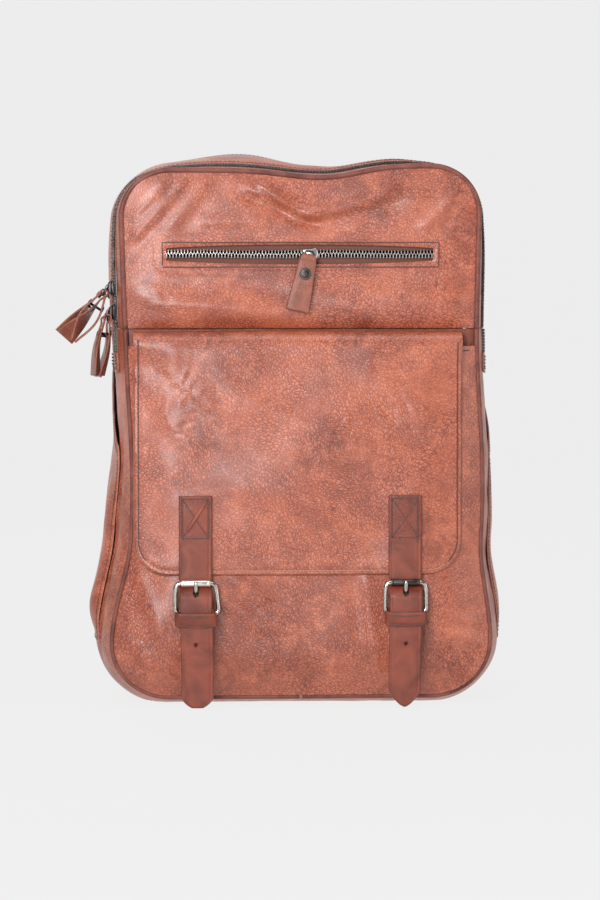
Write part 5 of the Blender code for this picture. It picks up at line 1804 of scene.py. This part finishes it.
def shoulder_straps():
    for side, sign in (("left", -1), ("right", 1)):
        path = shoulder_path(sign)

        def half(share):
            ends = 0.35 + 0.65 * ramp((1 - share) / 0.06)
            return (0.029 - 0.008 * share**2) * ends

        def section(share):
            wide, thick = half(share) - 0.0010, 0.0094
            ring = []
            for i in range(36):
                a = 2 * math.pi * i / 36
                c, s = math.cos(a), math.sin(a)
                across = wide * math.copysign(abs(c) ** 0.55, c)
                out = -0.0050 + thick / 2 * math.copysign(abs(s) ** 0.72, s) * (0.72 + 0.28 * abs(s))
                ring.append((across, out, 0))
            return ring

        bm = bmesh.new()
        sweep(bm, path, section, (-1, 0, 0))
        pad = piece(f"shoulder_pad_{side}", bm, (PAD_CLOTH,), "bag", [f"shoulder_strap_{side}"])
        puffed(pad, 0.0012, 0.0035)

        def face(share, u, lift):
            i = min(int(share * (len(path) - 1)), len(path) - 2)
            along = (path[i + 1] - path[i]).normalized()
            place = path[i].lerp(path[i + 1], share * (len(path) - 1) - i)
            side_way = (Vector((1, 0, 0)) - along * along.x).normalized()
            out = side_way.cross(along).normalized()
            out = out if out.y > 0 else -out
            return place + side_way * u * half(share) + out * lift, out

        rows = []
        for share in evenly(0.0, 0.965, 90):
            rows.append([face(share, -u, 0.0008 + 0.0012 * (1 - u * u))[0] for u in evenly(-0.80, 0.80, 16)])
        rows.reverse()
        skin(f"shoulder_facing_{side}", rows, 0.0016, "bag", (), (LEATHER, LINING, EDGE_PAINT))
        seams = []
        for u in (-0.74, 0.74):
            seams.append([face(s, u, 0.0008 + 0.0012 * (1 - u * u)) for s in evenly(0.02, 0.95, 90)])
        stitches(f"shoulder_stitches_{side}", seams, "bag", PALE_THREAD, 0.0036)
        for edge, u in (("outer", 1), ("inner", -1)):
            line = [face(s, u * 0.985, -0.0044)[0] for s in evenly(0.0, 0.955, 80)]
            tube_piece(f"shoulder_binding_{edge}_{side}", evened(line, 0.003), 0.0019, PIPING, "bag", (),
                       sides=10)
        webbing(side, sign)
        ladder_lock(side, sign)
        anchor(side, sign)


def webbing(side, sign):
    web = [
        (sign * 0.088, 0.0975, 0.1655), (sign * 0.0930, 0.0930, 0.1300),
        (sign * 0.1010, 0.0820, 0.0900), (sign * 0.1080, 0.0724, 0.0560),
    ]
    path = evened(smooth_path(web, 8), 0.0020)
    strap_piece(f"web_{side}", path, 0.0125, 0.0016, "bag", [f"webbing_{side}"], (-1, 0, 0),
                (WEBBING, WEBBING), "webbing", columns=10, crown=0.0001)
    stub = [(sign * 0.0885, 0.1045, 0.1780), (sign * 0.0890, 0.1020, 0.1700), (sign * 0.0893, 0.0985, 0.1640)]
    strap_piece(f"web_stub_{side}", evened(smooth_path(stub, 6), 0.002), 0.0125, 0.0016, "bag", (),
                (-1, 0, 0), (WEBBING, WEBBING), "webbing", columns=8, crown=0.0001)


def ladder_lock(side, sign):
    """A cast ladder lock: a rounded frame, two slots and a lifted lip."""
    body = f"ladder_lock_{side}"
    centre = Vector((sign * 0.0903, 0.1004, 0.1485))
    turn = Matrix.Rotation(math.radians(-8), 3, "X")

    def at(x, y, z):
        return centre + turn @ Vector((x, y, z))

    bm = bmesh.new()
    rim = [at(x, 0, z) for x, z in rounded(-0.0153, 0.0153, -0.0123, 0.0123, 0.004, 6)]
    sweep(bm, evened(rim + rim[:1], 0.0015)[:-1], lambda share: [
        (0.0015 * math.cos(a), 0.0017 * math.sin(a), 0) for a in (2 * math.pi * i / 12 for i in range(12))
    ], turn @ Vector((0, 1, 0)), closed=True)
    for z, thick in ((0.0, 0.0016), (-0.0128, 0.0012)):
        bar = [at(x, 0.0004 * math.cos(x * 100), z) for x in evenly(-0.0150, 0.0150, 14)]
        sweep(bm, bar, lambda share: [
            (0.0013 * math.cos(a), thick * math.sin(a) * 1.4, 0) for a in (2 * math.pi * i / 12 for i in range(12))
        ], turn @ Vector((0, 1, 0)))
    lip = [at(x, 0.0022 - 0.0010 * (x / 0.0125) ** 2, -0.0150 + 0.0004 * (x / 0.0125) ** 2)
           for x in evenly(-0.0125, 0.0125, 12)]
    sweep(bm, lip, round_section(0.0013, 10), turn @ Vector((0, 1, 0)))
    piece(f"ladder_frame_{side}", bm, (DARK_NICKEL,), body, [body])


def anchor(side, sign):
    """The leather triangle that holds the webbing's lower end."""
    low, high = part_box(f"strap_anchor_{side}")
    y = high.y

    def place(share_up, u):
        z = 0.0230 + 0.0480 * share_up
        inner = 0.0990 - 0.0070 * smooth(share_up)
        outer = 0.1370 - 0.0110 * smooth(share_up * 1.5)
        x = inner + (outer - inner) * u
        return Vector((sign * x, y + 0.0008 - 0.0006 * (2 * u - 1) ** 4, z))

    rows = [[place(s, u if sign < 0 else 1 - u) for u in evenly(0, 1, 14)] for s in evenly(0, 1, 20)]
    skin(f"anchor_leather_{side}", rows, 0.0030, "bag", [f"strap_anchor_{side}"], (STRAP, STRAP, EDGE_PAINT),
         "strap_leather")
    out = Vector((0, 1, 0))
    loop = [(place(b, a) + Vector((0, 0.0002, 0)), out) for a, b in
            polyline([(0.08, 0.06), (0.92, 0.06), (0.92, 0.94), (0.08, 0.94), (0.08, 0.06)], 0.04)]
    stitches(f"anchor_stitches_{side}", [loop], "bag", PALE_THREAD, 0.0030)


def divider():
    """The padded wall between the two compartments."""
    low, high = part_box("laptop_divider")
    heights = [0.0045, 0.0080, 0.0150, 0.0220, *evenly(0.0300, high.z - 0.001, 60)]
    rows = []
    for z in heights:
        h = half_width(z, -0.0035 if z < 0.04 else 0.0010) - 0.0006
        row = []
        for u in evenly(-1, 1, 50):
            quilt = 0.0006 * abs(math.sin(u * 9)) * ramp((1 - abs(u)) / 0.1)
            row.append(placed(u * h, low.y + 0.0004 - quilt * 0.4, z))
        rows.append(row)
    obj = skin("divider_wall", rows, 0.0044, "bag", ["laptop_divider"], (LINING, MESH_CLOTH, LINING), "padding")
    edge = [placed(x, (low.y + high.y) / 2, high.z - 0.0008) for x in evenly(-0.1330, 0.1330, 80)]
    tube_piece("divider_binding", edge, 0.0028, PIPING, "bag", (), sides=10)


# ---------------------------------------------------------------- camera, light and floor


def look_from(obj, place, target):
    obj.location = place
    obj.rotation_mode = "QUATERNION"
    obj.rotation_quaternion = (Vector(target) - Vector(place)).to_track_quat("-Z", "Y")


def camera():
    made = bpy.data.objects.new("camera", bpy.data.cameras.new("camera"))
    bpy.context.scene.collection.objects.link(made)
    aim = Vector((-0.0008, Y_FRONT, 0.1984))
    yaw, lift, away = math.radians(3.5), math.radians(3.2), 3.0
    from_aim = Vector((-math.sin(yaw) * math.cos(lift), -math.cos(yaw) * math.cos(lift), math.sin(lift)))
    look_from(made, aim + from_aim * away, aim)
    made.data.sensor_width = 36
    made.data.lens = 155
    made.data.clip_start, made.data.clip_end = 0.05, 50
    bpy.context.scene.camera = made


def softbox(name, place, target, size, power, colour=(1, 1, 1)):
    data = bpy.data.lights.new(name, "AREA")
    data.shape = "RECTANGLE"
    data.size, data.size_y = size
    data.energy = power
    data.color = colour
    made = bpy.data.objects.new(name, data)
    bpy.context.scene.collection.objects.link(made)
    look_from(made, place, target)


def studio():
    aim = (0, 0, 0.21)
    softbox("key_softbox", (-0.95, -2.15, 1.30), aim, (0.8, 0.8), 44, (1.0, 0.985, 0.99))
    softbox("fill_softbox", (1.9, -1.3, 0.7), aim, (1.2, 1.4), 12)
    softbox("front_softbox", (-0.50, -2.7, 0.40), aim, (0.60, 0.60), 25, (1.0, 0.97, 1.0))
    softbox("top_softbox", (0.1, -0.4, 1.9), aim, (1.2, 1.0), 11)
    softbox("rear_softbox", (-0.5, 1.1, 1.6), aim, (0.9, 0.9), 7)
    world = bpy.data.worlds.new("studio")
    world.use_nodes = True
    world.node_tree.nodes["Background"].inputs["Color"].default_value = (0.86, 0.86, 0.865, 1)
    world.node_tree.nodes["Background"].inputs["Strength"].default_value = 0.20
    bpy.context.scene.world = world
    bpy.context.scene.view_settings.view_transform = "Standard"

    s = Shader("studio_paper")
    shade = s.between(s.noise(3.0, 2.0), 0.3, 0.7)
    paper = s.mix(shade, (0.028, 0.028, 0.028), (0.032, 0.032, 0.032))
    s.finish(base_color=paper, roughness=0.95, emission_color=(0.86, 0.86, 0.86), emission_strength=0.964,
             specular_ior_level=0.0)
    profile = [(-7.0, 0.0), (4.3, 0.0)]
    profile += [(4.3 + 1.2 * math.sin(math.radians(a)), 1.2 - 1.2 * math.cos(math.radians(a)))
                for a in evenly(0, 90, 16)[1:]]
    profile += [(5.5, 5.0)]
    bm = bmesh.new()
    grid(bm, [[Vector((x, y, z)) for x in evenly(-6, 6, 8)] for y, z in profile])
    floor = piece("floor", bm, (s.material,), None)


PULL_LEATHER = smooth_leather("pull_leather", (0.200, 0.060, 0.036), (0.330, 0.105, 0.064), 1.2, (0.26, 0.42))
# Near-black leather for the walls of punched holes: painted shade inside the holes.
HOLE_SHADE = smooth_leather("dark_cut_edge", (0.030, 0.012, 0.009), (0.060, 0.024, 0.018), 0.6, (0.5, 0.7))

camera()
studio()
upper_front()
gussets()
side_pockets()
patch_pocket()
pipings()
arched_zips()
side_sliders()
front_zip()
flap()
straps()
back()
yoke()
handle()
shoulder_straps()
divider()
